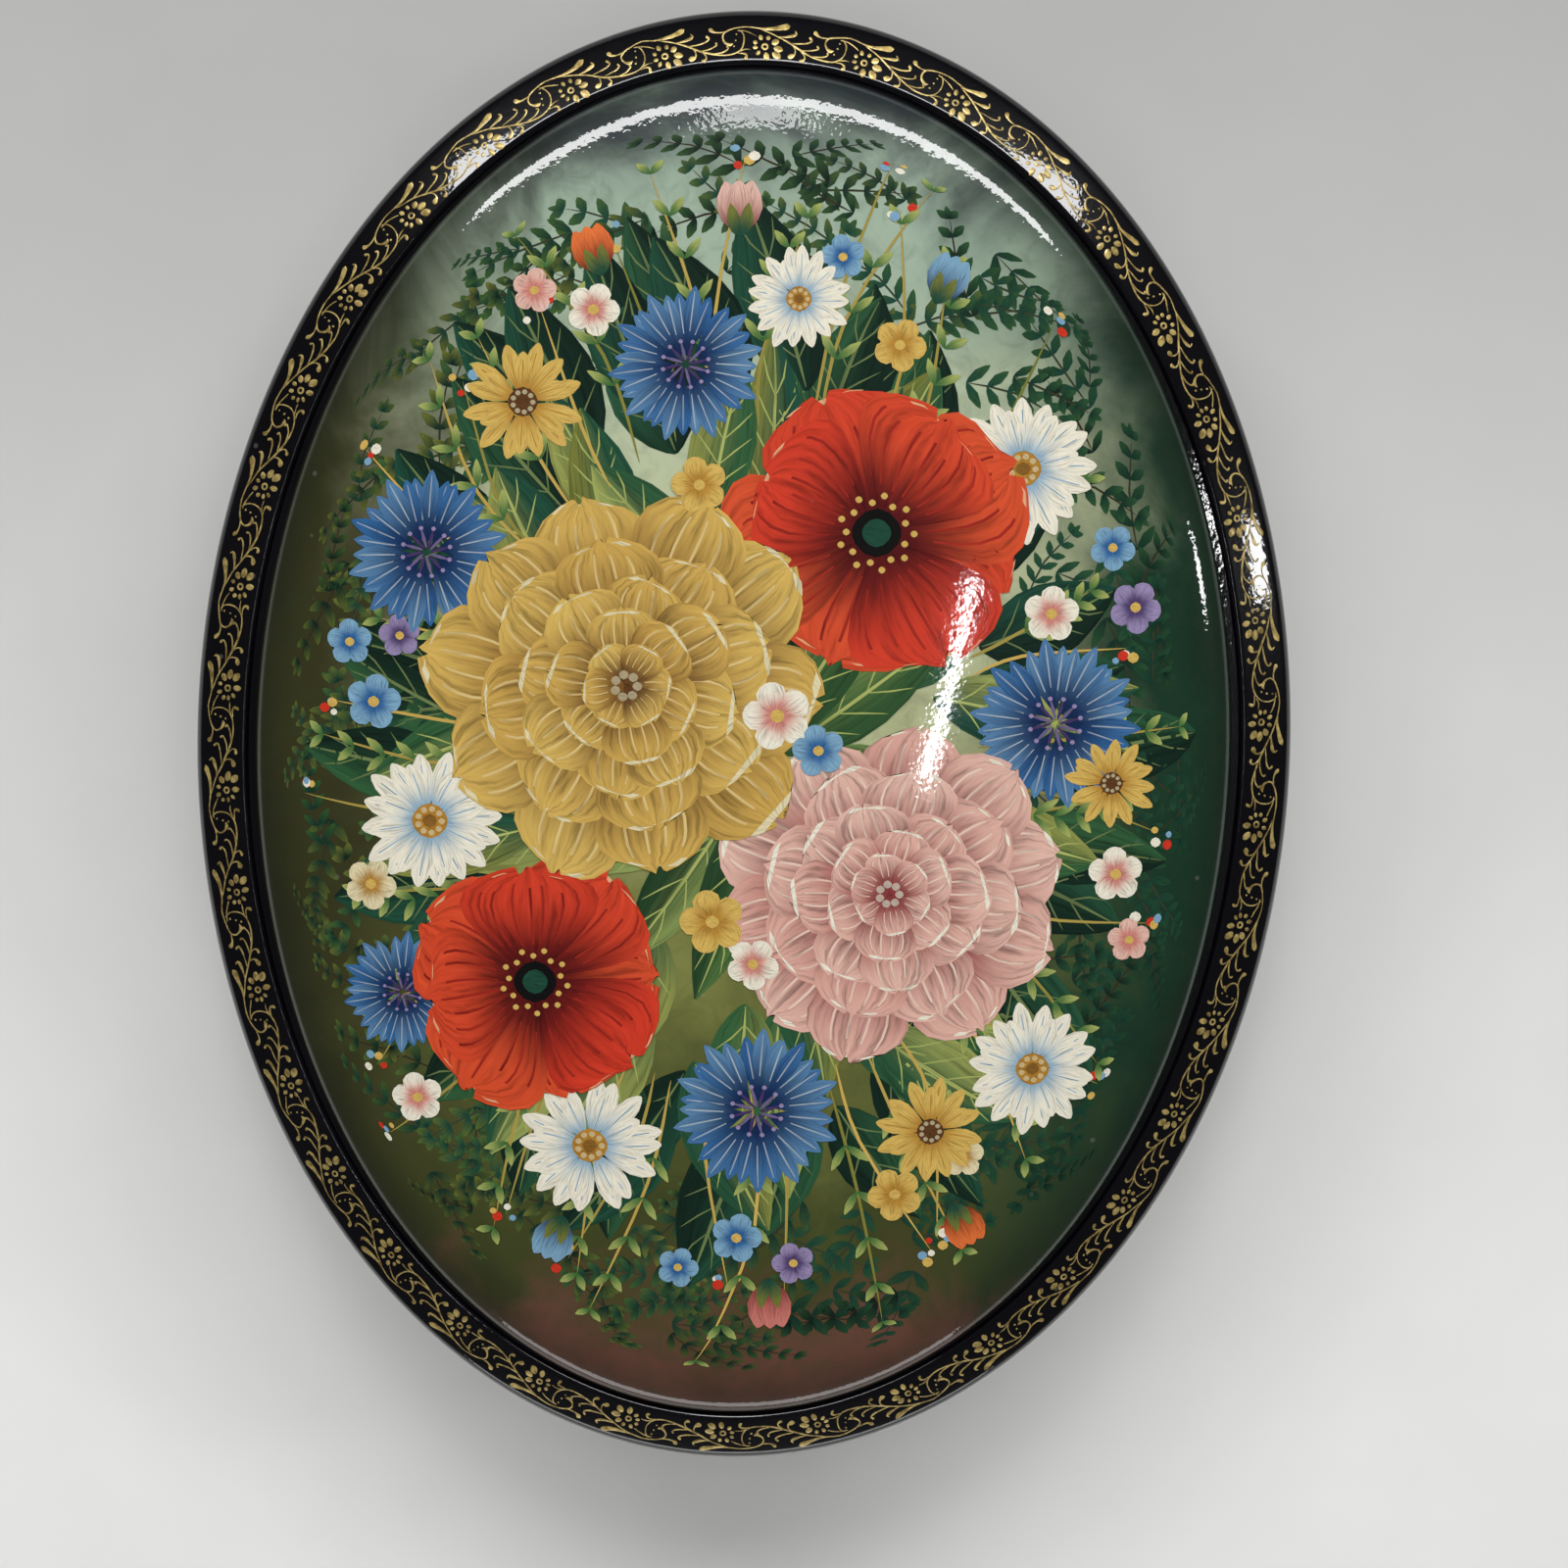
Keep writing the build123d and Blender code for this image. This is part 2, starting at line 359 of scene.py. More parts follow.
def paintedGround():
    # pale in the upper middle, green below, dark at the sides and brown at the foot; the slate grey over
    # the top is a painted reflection
    material, tree, shader = newMaterial("paintedGround")
    place = objectPlace(tree)
    axes = addNode(tree, "ShaderNodeSeparateXYZ")
    tree.links.new(place, axes.inputs[0])
    across = addMath(tree, "DIVIDE", axes.outputs["X"], domeHigh.x)
    up = addMath(tree, "DIVIDE", axes.outputs["Y"], domeHigh.y)
    clouds = addNoise(tree, place, *groundLook["clouds"])
    dabs = addNoise(tree, place, *groundLook["dabs"])
    drift = addMath(tree, "MULTIPLY", addMath(tree, "SUBTRACT", clouds, 0.5), groundLook["drift"])

    def comeIn(under, value, zone):
        span, colour = groundLook[zone]
        return addBlend(tree, addRange(tree, value, *span), under, colour)

    level = addMath(tree, "ADD", up, drift)
    # the outer blend lays the painted reflection over the top of the ground
    upper = comeIn(comeIn(groundLook["pale"], level, "paleHigh"), level, "paintedTopReflection")
    lower = comeIn(comeIn(groundLook["low"], level, "lowHigh"), level, "foot")
    field = addBlend(tree, addRange(tree, level, *groundLook["middle"]), lower, upper)
    side = addMath(tree, "ADD", addMath(tree, "ABSOLUTE", across), drift)
    flanks = comeIn(groundLook["left"], across, "right")
    field = addBlend(tree, addRange(tree, side, *groundLook["sides"]), field, flanks)
    field = comeIn(field, dabs, "dabbed")
    squares = addMath(tree, "ADD", addMath(tree, "POWER", across, 2.0), addMath(tree, "POWER", up, 2.0))
    reach = addMath(tree, "SQRT", squares)
    edge = addMath(tree, "ADD", reach, addMath(tree, "MULTIPLY", drift, groundLook["edgeDrift"]))
    field = comeIn(field, edge, "edge")
    uneven, calm = (addRange(tree, reach, *groundLook[key]) for key in ("uneven", "calm"))
    varnish(tree, shader, field, addMath(tree, "MULTIPLY", uneven, calm), **groundLook["varnish"])
    return material


# Brush paint: each dab carries its own colour and the streaks of the hairs that laid it

brushLook = {
    "hairs": (2.2, 9.0, 37.0),
    "streaks": (1.0, 3.0, 0.6),
    "dark": ((0.55, 0.25, 0.0, 0.55), (0.03, 0.03, 0.02)),
    "light": ((0.52, 0.8, 0.0, 0.5), (0.9, 0.88, 0.78)),
    "varnish": {"peel": 0.17, "rubs": 0.3, "dust": 0.2, "rough": 0.34, "coatRough": 0.035},
}


def brushPaint():
    material, tree, shader = newMaterial("brushPaint")
    colour = addNode(tree, "ShaderNodeAttribute", attribute_name="paint").outputs["Color"]
    stroke = addNode(tree, "ShaderNodeAttribute", attribute_name="brush").outputs["Vector"]
    hairs = addNoise(tree, addStretch(tree, stroke, brushLook["hairs"]), *brushLook["streaks"])
    for key, kind in (("dark", "MULTIPLY"), ("light", "SOFT_LIGHT")):
        span, tone = brushLook[key]
        colour = addBlend(tree, addRange(tree, hairs, *span), colour, tone, kind)
    varnish(tree, shader, colour, **brushLook["varnish"])
    return material


black, red, gold = (makeLacquer(name) for name in lacquers)
ground, paint = paintedGround(), brushPaint()
brass, steel = (makeMetal(name) for name in metals)
print("materials ready")


# Ovals: a lathe-turned round is pressed to the oval, keeping every width

ovalCore = 14 * mm  # further in than this, the rings shrink evenly to the middle
weldGap = 0.004 * mm


def ovalPoint(angle, depth, halfX, halfY):
    edge = Vector((halfX * math.cos(angle), halfY * math.sin(angle)))
    normal = Vector((math.cos(angle) / halfX, math.sin(angle) / halfY)).normalized()
    point = edge - normal * min(depth, ovalCore)
    if depth > ovalCore:
        point *= 1 - (depth - ovalCore) / (halfY - ovalCore)
    return point


def finishFaces(bm):
    bmesh.ops.recalc_face_normals(bm, faces=bm.faces)
    for face in bm.faces:
        face.smooth = True


def turnOval(profile, halfX, halfY, steps, closed):
    # profile: (depth in from the outline, height) pairs in metres
    bm = bmesh.new()
    chain = [bm.verts.new((halfY - depth, 0, height)) for depth, height in profile]
    pairs = list(zip(chain, chain[1:] + chain[:1])) if closed else list(zip(chain, chain[1:]))
    edges = [bm.edges.new(pair) for pair in pairs]
    bmesh.ops.spin(bm, geom=chain + edges, axis=(0, 0, 1), cent=(0, 0, 0), angle=2 * math.pi, steps=steps,
                   use_merge=True)
    bmesh.ops.remove_doubles(bm, verts=bm.verts, dist=weldGap)
    for vert in bm.verts:
        depth = halfY - math.hypot(vert.co.x, vert.co.y)
        point = ovalPoint(math.atan2(vert.co.y, vert.co.x), depth, halfX, halfY)
        vert.co = (point.x, point.y, vert.co.z)
    finishFaces(bm)
    return bm


def sharpen(bm, limit):
    for edge in bm.edges:
        if len(edge.link_faces) == 2 and edge.calc_face_angle(0) > math.radians(limit):
            edge.smooth = False


def arcPoints(centre, radius, start, end, count):
    turns = [math.radians(lerp(start, end, i / count)) for i in range(count + 1)]
    return [(centre[0] + radius * math.cos(t), centre[1] + radius * math.sin(t)) for t in turns]


# Lid frame

rim = {
    "side": 1.8,
    "round": 2.3,
    "slope": 24,
    "swell": 0.035,  # slope gained at the band's outer edge and lost at its crown
    "bandDepth": 6.3,
    "grooveDepth": 7.6,
    "grooveSlope": -2.0,
    "ledge": 5.6,
    "ledgeDepth": 13.0,
    "rebateDepth": 8.4,
    "rebate": 3.5,
    "arris": 0.5,
    "steps": 480,
    "roundSteps": 10,
    "bandSteps": 8,
    "grooveSteps": 12,
    "arrisSteps": 4,
    "redReach": 0.925,  # share of the outline within which the underside is red
    "redOver": 0.05,  # and how far above the rebate it may lie
    "crease": 32,
    "barrelClear": 1.9,
    "barrelLength": 24.8,
    "barrelFacets": 48,
}
mouth = rimLow.z
rimHalf = Vector((min(rimHigh.x, -rimLow.x), min(rimHigh.y, -rimLow.y)))


def fairCurve(p, q, startSlope, endSlope, count):
    # from p to q, leaving and arriving at the two slopes
    run = q[0] - p[0]
    curve = []
    for t in (i / count for i in range(1, count + 1)):
        a, b = 2 * t**3 - 3 * t**2 + 1, t**3 - 2 * t**2 + t
        c, d = -2 * t**3 + 3 * t**2, t**3 - t**2
        height = a * p[1] + b * run * startSlope + c * q[1] + d * run * endSlope
        curve.append((lerp(p[0], q[0], t), height))
    return curve


def rimTop():
    # the seen part of the section, from the upright side to the groove at the dome
    r = rim["round"]
    points = arcPoints((r, rim["side"]), r, 180, 90 + rim["slope"], rim["roundSteps"])
    start, slope = points[-1], math.tan(math.radians(rim["slope"]))
    crown = (rim["bandDepth"], start[1] + (rim["bandDepth"] - start[0]) * slope)
    foot = (rim["grooveDepth"], rim["ledge"])
    points += fairCurve(start, crown, slope + rim["swell"], slope - rim["swell"], rim["bandSteps"])
    points += fairCurve(crown, foot, slope, rim["grooveSlope"], rim["grooveSteps"])
    return points


rimSection = rimTop()


def rimHeight(depth):
    for (d0, h0), (d1, h1) in zip(rimSection, rimSection[1:]):
        if d0 <= depth <= d1:
            return lerp(h0, h1, (depth - d0) / max(d1 - d0, 1e-6))
    return rimSection[-1][1]


def cutBarrel(bm):
    # room for the hinge knuckles in the frame's underside
    cutter = bmesh.new()
    place = Matrix.Translation((0, (pinLow.y + pinHigh.y) / 2, (pinLow.z + pinHigh.z) / 2))
    place = place @ Matrix.Rotation(math.pi / 2, 4, "Y")
    radius, length = rim["barrelClear"] * mm, rim["barrelLength"] * mm
    bmesh.ops.create_cone(cutter, cap_ends=True, segments=rim["barrelFacets"], radius1=radius,
                          radius2=radius, depth=length, matrix=place)
    solids = []
    for name, source in (("frameBlank", bm), ("barrelCutter", cutter)):
        mesh = bpy.data.meshes.new(name)
        source.to_mesh(mesh)
        solid = bpy.data.objects.new(name, mesh)
        scene.collection.objects.link(solid)
        solids.append(solid)
    cutter.free()
    blank, tool = solids
    cut = blank.modifiers.new("barrel", "BOOLEAN")
    cut.operation, cut.solver, cut.object = "DIFFERENCE", "EXACT", tool
    bpy.context.view_layer.update()
    result = bpy.data.meshes.new_from_object(blank.evaluated_get(bpy.context.evaluated_depsgraph_get()))
    bm.clear()
    bm.from_mesh(result)
    for solid in solids:
        bpy.data.objects.remove(solid)
    bpy.data.meshes.remove(result)


def makeRim():
    under = arcPoints((rim["arris"], rim["arris"]), rim["arris"], 270, 180, rim["arrisSteps"])
    hidden = [
        (rim["ledgeDepth"], rim["ledge"]),
        (rim["ledgeDepth"], rim["rebate"]),
        (rim["rebateDepth"], rim["rebate"]),
        (rim["rebateDepth"], 0),
    ]
    profile = [(d * mm, mouth + h * mm) for d, h in under + rimSection + hidden]
    bm = turnOval(profile, rimHalf.x, rimHalf.y, rim["steps"], True)
    for face in bm.faces:
        middle = face.calc_center_median()
        inner = middle.z < mouth + (rim["rebate"] + rim["redOver"]) * mm and face.normal.z < 0.5
        radial = Vector((middle.x / rimHigh.x, middle.y / rimHigh.y)).length
        face.material_index = 1 if inner and radial < rim["redReach"] else 0
    sharpen(bm, rim["crease"])
    cutBarrel(bm)
    return addPiece("lid_frame", bm, [black, red], "lid", ["lid_rim"])


makeRim()


# Base board: rounded edge, red floor inside the lip

base = {
    "round": 1.6,
    "roundSteps": 8,
    "steps": 360,
    "floorRings": 12,
    "underRings": 6,
    "lipWall": 2.5,
    "redReach": 0.98,  # share of the lip's outline within which the floor is red
    "redUnder": 0.01,
    "crease": 60,
}


def makeBase():
    thick = (baseHigh.z - baseLow.z) / mm
    r = base["round"]
    lower = arcPoints((r, r), r, 270, 180, base["roundSteps"])
    upper = arcPoints((r, thick - r), r, 180, 90, base["roundSteps"])
    reach = baseHigh.y / mm
    inset = (baseHigh.y - lipHigh.y) / mm + base["lipWall"]
    rings, unders = base["floorRings"], base["underRings"]
    floor = [(lerp(inset, reach, i / rings), thick) for i in range(rings + 1)]
    below = [(lerp(reach, ovalCore / mm, i / unders), 0) for i in range(unders + 1)]
    profile = [(d * mm, baseLow.z + h * mm) for d, h in below + lower + upper + floor]
    bm = turnOval(profile, baseHigh.x, baseHigh.y, base["steps"], False)
    for face in bm.faces:
        middle = face.calc_center_median()
        onTop = middle.z > baseHigh.z - base["redUnder"] * mm
        radial = Vector((middle.x / lipHigh.x, middle.y / lipHigh.y)).length
        face.material_index = 1 if onTop and radial < base["redReach"] else 0
    sharpen(bm, base["crease"])
    return addPiece("base_panel", bm, [black, red], "box", ["base_board"])


makeBase()


# Dome: a square grid pressed to the oval, then its seat and vaulted underside

dome = {
    "halfX": domeHigh.x,
    "halfY": domeHigh.y,
    "foot": domeLow.z,
    "rise": domeHigh.z - domeLow.z - 0.4 * mm,  # the paint's build-up makes up the rest
    "power": 2.6,
    "vault": 5.0 * mm,
    "seat": 3.4 * mm,
    "vaultRings": 14,
    "cells": 220,
    "footCrowd": 1.6,  # rings lie closest together at the steep foot
    "ovalFrom": (0.25, 0.9),  # where the grid's rings turn into rings of the oval
    "crownWeld": 0.5 * mm,
    "crease": 50,
}


def domeHeight(x, y):
    reach = math.hypot(x / dome["halfX"], y / dome["halfY"])
    inside = max(1 - min(reach, 1.0) ** dome["power"], 0.0)
    return dome["foot"] + dome["rise"] * inside ** (1 / dome["power"])


def discPoint(square):
    # a point of the square grid, moved to its place in a round of radius 1
    ring = max(abs(square.x), abs(square.y))
    if ring == 0:
        return square
    disc = Vector((square.x * math.sqrt(1 - square.y**2 / 2), square.y * math.sqrt(1 - square.x**2 / 2)))
    reach = 1 - (1 - ring) ** dome["footCrowd"]
    return disc.normalized() * lerp(disc.length, reach, smooth(*dome["ovalFrom"], ring))


def makeDome():
    bm = bmesh.new()
    bmesh.ops.create_grid(bm, x_segments=dome["cells"], y_segments=dome["cells"], size=1.0)
    for vert in bm.verts:
        spot = discPoint(vert.co.xy)
        x, y = spot.x * dome["halfX"], spot.y * dome["halfY"]
        vert.co = (x, y, domeHeight(x, y))
    loop = [edge for edge in bm.edges if edge.is_boundary]
    for ring in range(dome["vaultRings"] + 1):
        turn = ring / dome["vaultRings"] * math.pi / 2
        made = bmesh.ops.extrude_edge_only(bm, edges=loop)["geom"]
        loop = [item for item in made if isinstance(item, bmesh.types.BMEdge)]
        verts = list(dict.fromkeys(vert for edge in loop for vert in edge.verts))
        shrink = max(math.cos(turn), 1e-4) ** (2 / dome["power"])
        for vert in verts:
            out = Vector((vert.co.x / dome["halfX"], vert.co.y / dome["halfY"])).normalized()
            vert.co = (
                out.x * (dome["halfX"] - dome["seat"]) * shrink,
                out.y * (dome["halfY"] - dome["seat"]) * shrink,
                dome["foot"] + dome["vault"] * math.sin(turn) ** (2 / dome["power"]),
            )
        for face in (item for item in made if isinstance(item, bmesh.types.BMFace)):
            face.material_index = 1
    bmesh.ops.remove_doubles(bm, verts=verts, dist=dome["crownWeld"])
    finishFaces(bm)
    sharpen(bm, dome["crease"])
    return addPiece("painted_dome", bm, [ground, red], "lid", ["lid_dome"])


makeDome()


# Brush marks as flat forms: place(u, v) runs along the mark and from side to side

def ribbon(points, rounding=0.07):
    # a brush line through the points, swelling and thinning with their widths
    count = len(points) - 1

    def place(u, v):
        spot = min(u * count, count - 1e-6)
        i, t = int(spot), spot - int(spot)
        a, b, c, d = (Vector(points[min(max(i + k, 0), count)]) for k in (-1, 0, 1, 2))
        run, curve, twist = c - a, a * 2 - b * 5 + c * 4 - d, b * 3 - a - c * 3 + d
        value = (b * 2 + run * t + curve * t**2 + twist * t**3) / 2
        slope = (run + curve * 2 * t + twist * 3 * t**2) / 2
        tip = math.sqrt(max(min(u / rounding, (1 - u) / rounding, 1.0), 0.02))
        side = Vector((-slope.y, slope.x)).normalized() * value.z * tip * v
        return value.xy + side

    return place


def petal(start, angle, length, width, bend=0.0, belly=1.0, blunt=0.5, ruffle=0.0, phase=0.0):
    # a dab from start along angle; belly moves its widest place to the tip, blunt rounds its ends
    turn = Matrix.Rotation(math.radians(angle), 2)
    root = Vector(start)

    def place(u, v):
        half = width / 2 * max(math.sin(math.pi * u**belly), 0.02) ** blunt
        along = u * length + ruffle * length * u * u * math.sin(v * 5 + phase)
        return root + turn @ Vector((along, v * half + bend * length * u * u))

    return place


def eased(x):
    # grid columns, -1 to 1, as shares of the mark's length that crowd at its ends
    return (1 - math.cos((x + 1) * math.pi / 2)) / 2


def closeDabs(bm, thick, crease=45):
    # all dabs face up, then get a thin closed body whose edges stay crisp
    bm.normal_update()
    bmesh.ops.reverse_faces(bm, faces=[face for face in bm.faces if face.normal.z < 0])
    bmesh.ops.solidify(bm, geom=bm.faces[:], thickness=thick * mm)
    finishFaces(bm)
    sharpen(bm, crease)


# Gold border: one scroll motif drawn flat, repeated round the lid's band

border = {
    "repeats": 38,
    "hairline": 0.56,  # thickness of thin strokes against the drawing
    "drop": 0.82,  # and of full ones
    "dropFrom": (0.15, 0.4),
    "inset": 0.4,
    "hingeEnd": 0.45,  # further in at that end
    "raise": 0.05,
    "edgeRaise": 0.35,  # share of it at a stroke's edges
    "thick": 0.05,
    "seed": 5,
    "samples": 2400,
    "wander": 0.12,
    "shake": 0.06,
    "pressure": (0.88, 1.14),
    "petalTurn": 8,
    "petalGrow": (0.84, 0.97),
}
# strokes as (along, depth in from the edge, half width) in mm, read round the lid clockwise
scroll = {
    "volute": [(-4.55, 3.54, .17), (-5.05, 3.70, .30), (-5.72, 3.32, .22), (-6.01, 2.64, .20),
               (-5.56, 2.02, .19), (-4.29, 1.60, .16), (-2.61, 1.38, .15), (-0.93, 1.63, .16),
               (0.42, 1.72, .25), (1.77, 1.55, .33), (2.95, 1.25, .44), (3.45, 1.04, .25)],
    "flowerStem": [(-3.96, 1.89, .12), (-2.95, 1.97, .14), (-1.94, 2.31, .14), (-1.10, 2.70, .10)],
    "mainStem": [(-0.76, 1.72, .13), (0.42, 2.09, .15), (1.85, 2.61, .17), (3.45, 3.37, .20),
                 (5.13, 4.19, .21), (6.99, 4.83, .20), (8.84, 5.12, .18), (10.35, 4.95, .17),
                 (11.28, 4.33, .17), (11.70, 3.40, .17), (11.57, 2.39, .16), (10.94, 1.68, .14)],
    "hookOne": [(1.85, 2.64, .10), (2.95, 2.56, .20), (3.96, 2.39, .30), (4.46, 2.09, .24),
                (4.16, 1.68, .10)],
    "hookTwo": [(3.62, 3.40, .11), (4.97, 3.32, .15), (6.06, 3.16, .20), (6.68, 2.76, .20),
                (6.28, 2.32, .28)],
    "hookThree": [(5.13, 4.19, .11), (6.40, 4.12, .15), (7.32, 3.90, .18), (7.79, 3.54, .18),
                  (7.53, 3.28, .23)],
    "hookFour": [(6.99, 4.80, .11), (8.25, 4.71, .15), (9.04, 4.44, .18), (9.38, 4.11, .18),
                 (9.07, 3.94, .23)],
    "leafOne": [(3.99, 3.60, .10), (4.49, 4.16, .15), (4.46, 4.83, .22), (3.92, 5.12, .42),
                (3.45, 5.12, .20)],
    "leafTwo": [(5.22, 4.24, .10), (5.89, 4.75, .15), (6.01, 5.29, .20), (5.56, 5.56, .30),
                (5.30, 5.42, .13)],
    "leafThree": [(10.52, 4.95, .10), (11.36, 4.92, .15), (12.0, 5.12, .23), (11.92, 5.56, .30),
                  (11.62, 5.67, .13)],
    "leafFour": [(11.03, 4.66, .14), (11.87, 4.44, .13), (12.71, 4.49, .05)],
    "tail": [(-5.39, 1.97, .11), (-6.31, 2.09, .15), (-7.07, 1.97, .22), (-7.53, 1.63, .36),
             (-7.80, 1.46, .15)],
}
scrollDots = [(10.66, 2.39, .22), (10.49, 3.18, .23), (10.22, 3.99, .23)]
scrollFlower = {
    "centre": (0.08, 4.04),
    "heart": (0.40, 0.34, 0.13),  # half length, half width, half the line's width
    # petals as (along, depth, half length, half width) from the centre
    "petals": [(2.07, .20, .77, .47), (1.77, 1.21, .76, .54), (.22, 1.38, .61, .47),
               (-1.01, .88, .40, .29), (-1.43, .20, .40, .27), (-1.43, -.56, .34, .30),
               (-.67, -1.23, .42, .34), (.47, -1.18, .34, .32), (1.48, -.67, .57, .44)],
}


def outlineTable():
    # length along the lid's edge, clockwise from the hinge end, and the angle there
    lengths, angles, before = [0.0], [], None
    for i in range(border["samples"] + 1):
        angles.append(math.pi / 2 - 2 * math.pi * i / border["samples"])
        spot = ovalPoint(angles[-1], 0, rimHalf.x, rimHalf.y)
        if before is not None:
            lengths.append(lengths[-1] + (spot - before).length)
        before = spot
    return lengths, angles


edgeLengths, edgeAngles = outlineTable()


def angleAt(walked):
    walked %= edgeLengths[-1]
    i = bisect.bisect(edgeLengths, walked) - 1
    share = (walked - edgeLengths[i]) / (edgeLengths[i + 1] - edgeLengths[i])
    return lerp(edgeAngles[i], edgeAngles[i + 1], share)


def goldDab(bm, place, cells, shift):
    verts = bmesh.ops.create_grid(bm, x_segments=cells[0], y_segments=cells[1], size=1.0)["verts"]
    for vert in verts:
        v = vert.co.y
        along, depth = place(eased(vert.co.x), v)
        angle = angleAt(along * mm + shift)
        depth += border["inset"] + border["hingeEnd"] * max(math.sin(angle), 0.0) ** 2
        spot = ovalPoint(angle, depth * mm, rimHalf.x, rimHalf.y)
        swell = border["raise"] * (border["edgeRaise"] + (1 - border["edgeRaise"]) * (1 - v * v))
        vert.co = (spot.x, spot.y, mouth + (rimHeight(depth) + swell) * mm)


def makeBorder():
    bm = bmesh.new()
    goldHand = random.Random(border["seed"])
    shake = border["shake"]

    def shaky(point):
        weight = lerp(border["hairline"], border["drop"], smooth(*border["dropFrom"], point[2]))
        return (point[0] + goldHand.uniform(-shake, shake), point[1] + goldHand.uniform(-shake, shake),
                point[2] * weight * goldHand.uniform(*border["pressure"]))

    x, y = scrollFlower["centre"]
    halfLong, halfWide, line = scrollFlower["heart"]
    turns = [t * math.pi / 5 for t in range(11)]
    heart = ribbon([(x + halfLong * math.cos(t), y + halfWide * math.sin(t), line) for t in turns], 0.01)
    for repeat in range(border["repeats"]):
        shift = repeat * (edgeLengths[-1] / border["repeats"])
        shift += goldHand.uniform(-border["wander"], border["wander"]) * mm
        for stroke in scroll.values():
            goldDab(bm, ribbon([shaky(point) for point in stroke]), (3 * len(stroke), 2), shift)
        for along, depth, radius in (shaky(dot) for dot in scrollDots):
            goldDab(bm, petal((along - radius, depth), 0, radius * 2, radius * 2), (4, 4), shift)
        goldDab(bm, heart, (20, 2), shift)
        for dx, dy, long, wide in scrollFlower["petals"]:
            lean = goldHand.uniform(-border["petalTurn"], border["petalTurn"])
            angle = math.degrees(math.atan2(dy, dx)) + lean
            reach = Vector((dx, dy)).normalized() * long
            grow = goldHand.uniform(*border["petalGrow"])
            start = (x + dx - reach.x, y + dy - reach.y)
            goldDab(bm, petal(start, angle, long * 2 * grow, wide * 2 * grow), (5, 4), shift)
    closeDabs(bm, border["thick"])
    return addPiece("gold_border", bm, [gold], "lid")


makeBorder()


# Painting: brush dabs laid on the dome, each a hair above what it covers

painting = {
    "cell": 1.1,  # side of the squares in which the height of the paint is kept
    "step": 0.003,
    "first": 0.02,
    "thick": 0.04,
    "seed": 11,
    "scale": 1.13,
    "crowd": 0.86,  # share of the dome past which the design is drawn in
    "reach": 0.955,
}
# steps at which each coat of the greenery starts; the blossoms follow what lies under them
coats = {"thicket": 0, "backLeaves": 12, "frontLeaves": 20, "heartLeaves": 28, "stems": 36}
layers = {}
hand = random.Random(painting["seed"])
hues = {
    "white": paintColour(240, 234, 214),
    "cream": paintColour(226, 214, 172),
    "straw": paintColour(214, 178, 92),
    "ochre": paintColour(178, 128, 46),
    "brown": paintColour(92, 58, 30),
    "blush": paintColour(228, 186, 170),
    "rose": paintColour(206, 122, 112),
    "wine": paintColour(122, 34, 40),
    "scarlet": paintColour(206, 54, 34),
    "orange": paintColour(230, 116, 58),
    "maroon": paintColour(84, 14, 16),
    "blue": paintColour(26, 88, 148),
    "navy": paintColour(12, 36, 78),
    "sky": paintColour(126, 168, 196),
    "lilac": paintColour(150, 136, 176),
    "violet": paintColour(70, 52, 100),
    "forest": paintColour(14, 38, 28),
    "pine": paintColour(26, 72, 56),
    "leaf": paintColour(64, 108, 56),
    "olive": paintColour(118, 122, 52),
    "lime": paintColour(168, 178, 100),
    "ink": paintColour(10, 12, 10),
}


def between(a, b, share):
    return mix(hues[a], hues[b], share)


def jitter(amount):
    return hand.uniform(-amount, amount)


def newCanvas():
    bm = bmesh.new()
    return bm, bm.verts.layers.float_color.new("paint"), bm.verts.layers.float_vector.new("brush")


def hangCanvas(canvas, name):
    closeDabs(canvas[0], painting["thick"])
    addPiece(name, canvas[0], [paint], "lid")


def onDome(spot):
    # the bouquet at its full size, drawn in where it would run over the dome's shoulder
    point = spot * painting["scale"] * mm
    reach = math.hypot(point.x / dome["halfX"], point.y / dome["halfY"])
    start = painting["crowd"]
    if reach > start:
        room = painting["reach"] - start
        point *= (start + room * (1 - math.exp(-(reach - start) / room))) / reach
    return point


def cellOf(spot):
    return round(spot[0] / painting["cell"]), round(spot[1] / painting["cell"])


def topOf(centre, radius):
    # height of the paint that a blossom will cover
    x, y = cellOf(centre)
    reach = int(radius / painting["cell"]) + 1
    span = range(-reach, reach + 1)
    cells = [(x + i, y + j) for i in span for j in span if math.hypot(i, j) <= reach]
    return max(layers.get(cell, painting["first"]) for cell in cells)


def coat(name, above):
    # a height to lay dabs on, and how many layers above it
    return painting["first"] + painting["step"] * coats[name], above


def coveredCells(place, cells, us, vs):
    rows, columns = range(cells[0] * 3 + 1), range(cells[1] * 2 + 1)
    spread = [(i / cells[0] / 3, j / cells[1] / 2) for i in rows for j in columns]
    return {cellOf(place(lerp(*us, i), lerp(*vs, j))) for i, j in spread}


def dab(canvas, place, tint, cells, us=(0, 1), vs=(-1, 1), over=None, level=None):
    # over: height of the dab that this one is a detail of; level: a height and layers above it
    bm, colours, brush = canvas
    verts = bmesh.ops.create_grid(bm, x_segments=cells[0], y_segments=cells[1], size=1.0)["verts"]
    step = painting["step"]
    if over is not None:
        lift = over + step
    else:
        covered = coveredCells(place, cells, us, vs)
        if level is None:
            lift = max(layers.get(cell, painting["first"]) for cell in covered) + step
        else:
            lift = level[0] + step * (1 + 2 * level[1])
        layers.update((cell, max(layers.get(cell, 0.0), lift + step)) for cell in covered)
    grain = hand.uniform(0, 40)
    for vert in verts:
        u, v = lerp(*us, eased(vert.co.x)), lerp(*vs, (vert.co.y + 1) / 2)
        spot = onDome(place(u, v))
        vert.co = (spot.x, spot.y, domeHeight(spot.x, spot.y) + lift * mm)
        vert[colours] = (*(tint(u, v) if callable(tint) else tint), 1)
        vert[brush] = (u, v, grain)
    return lift


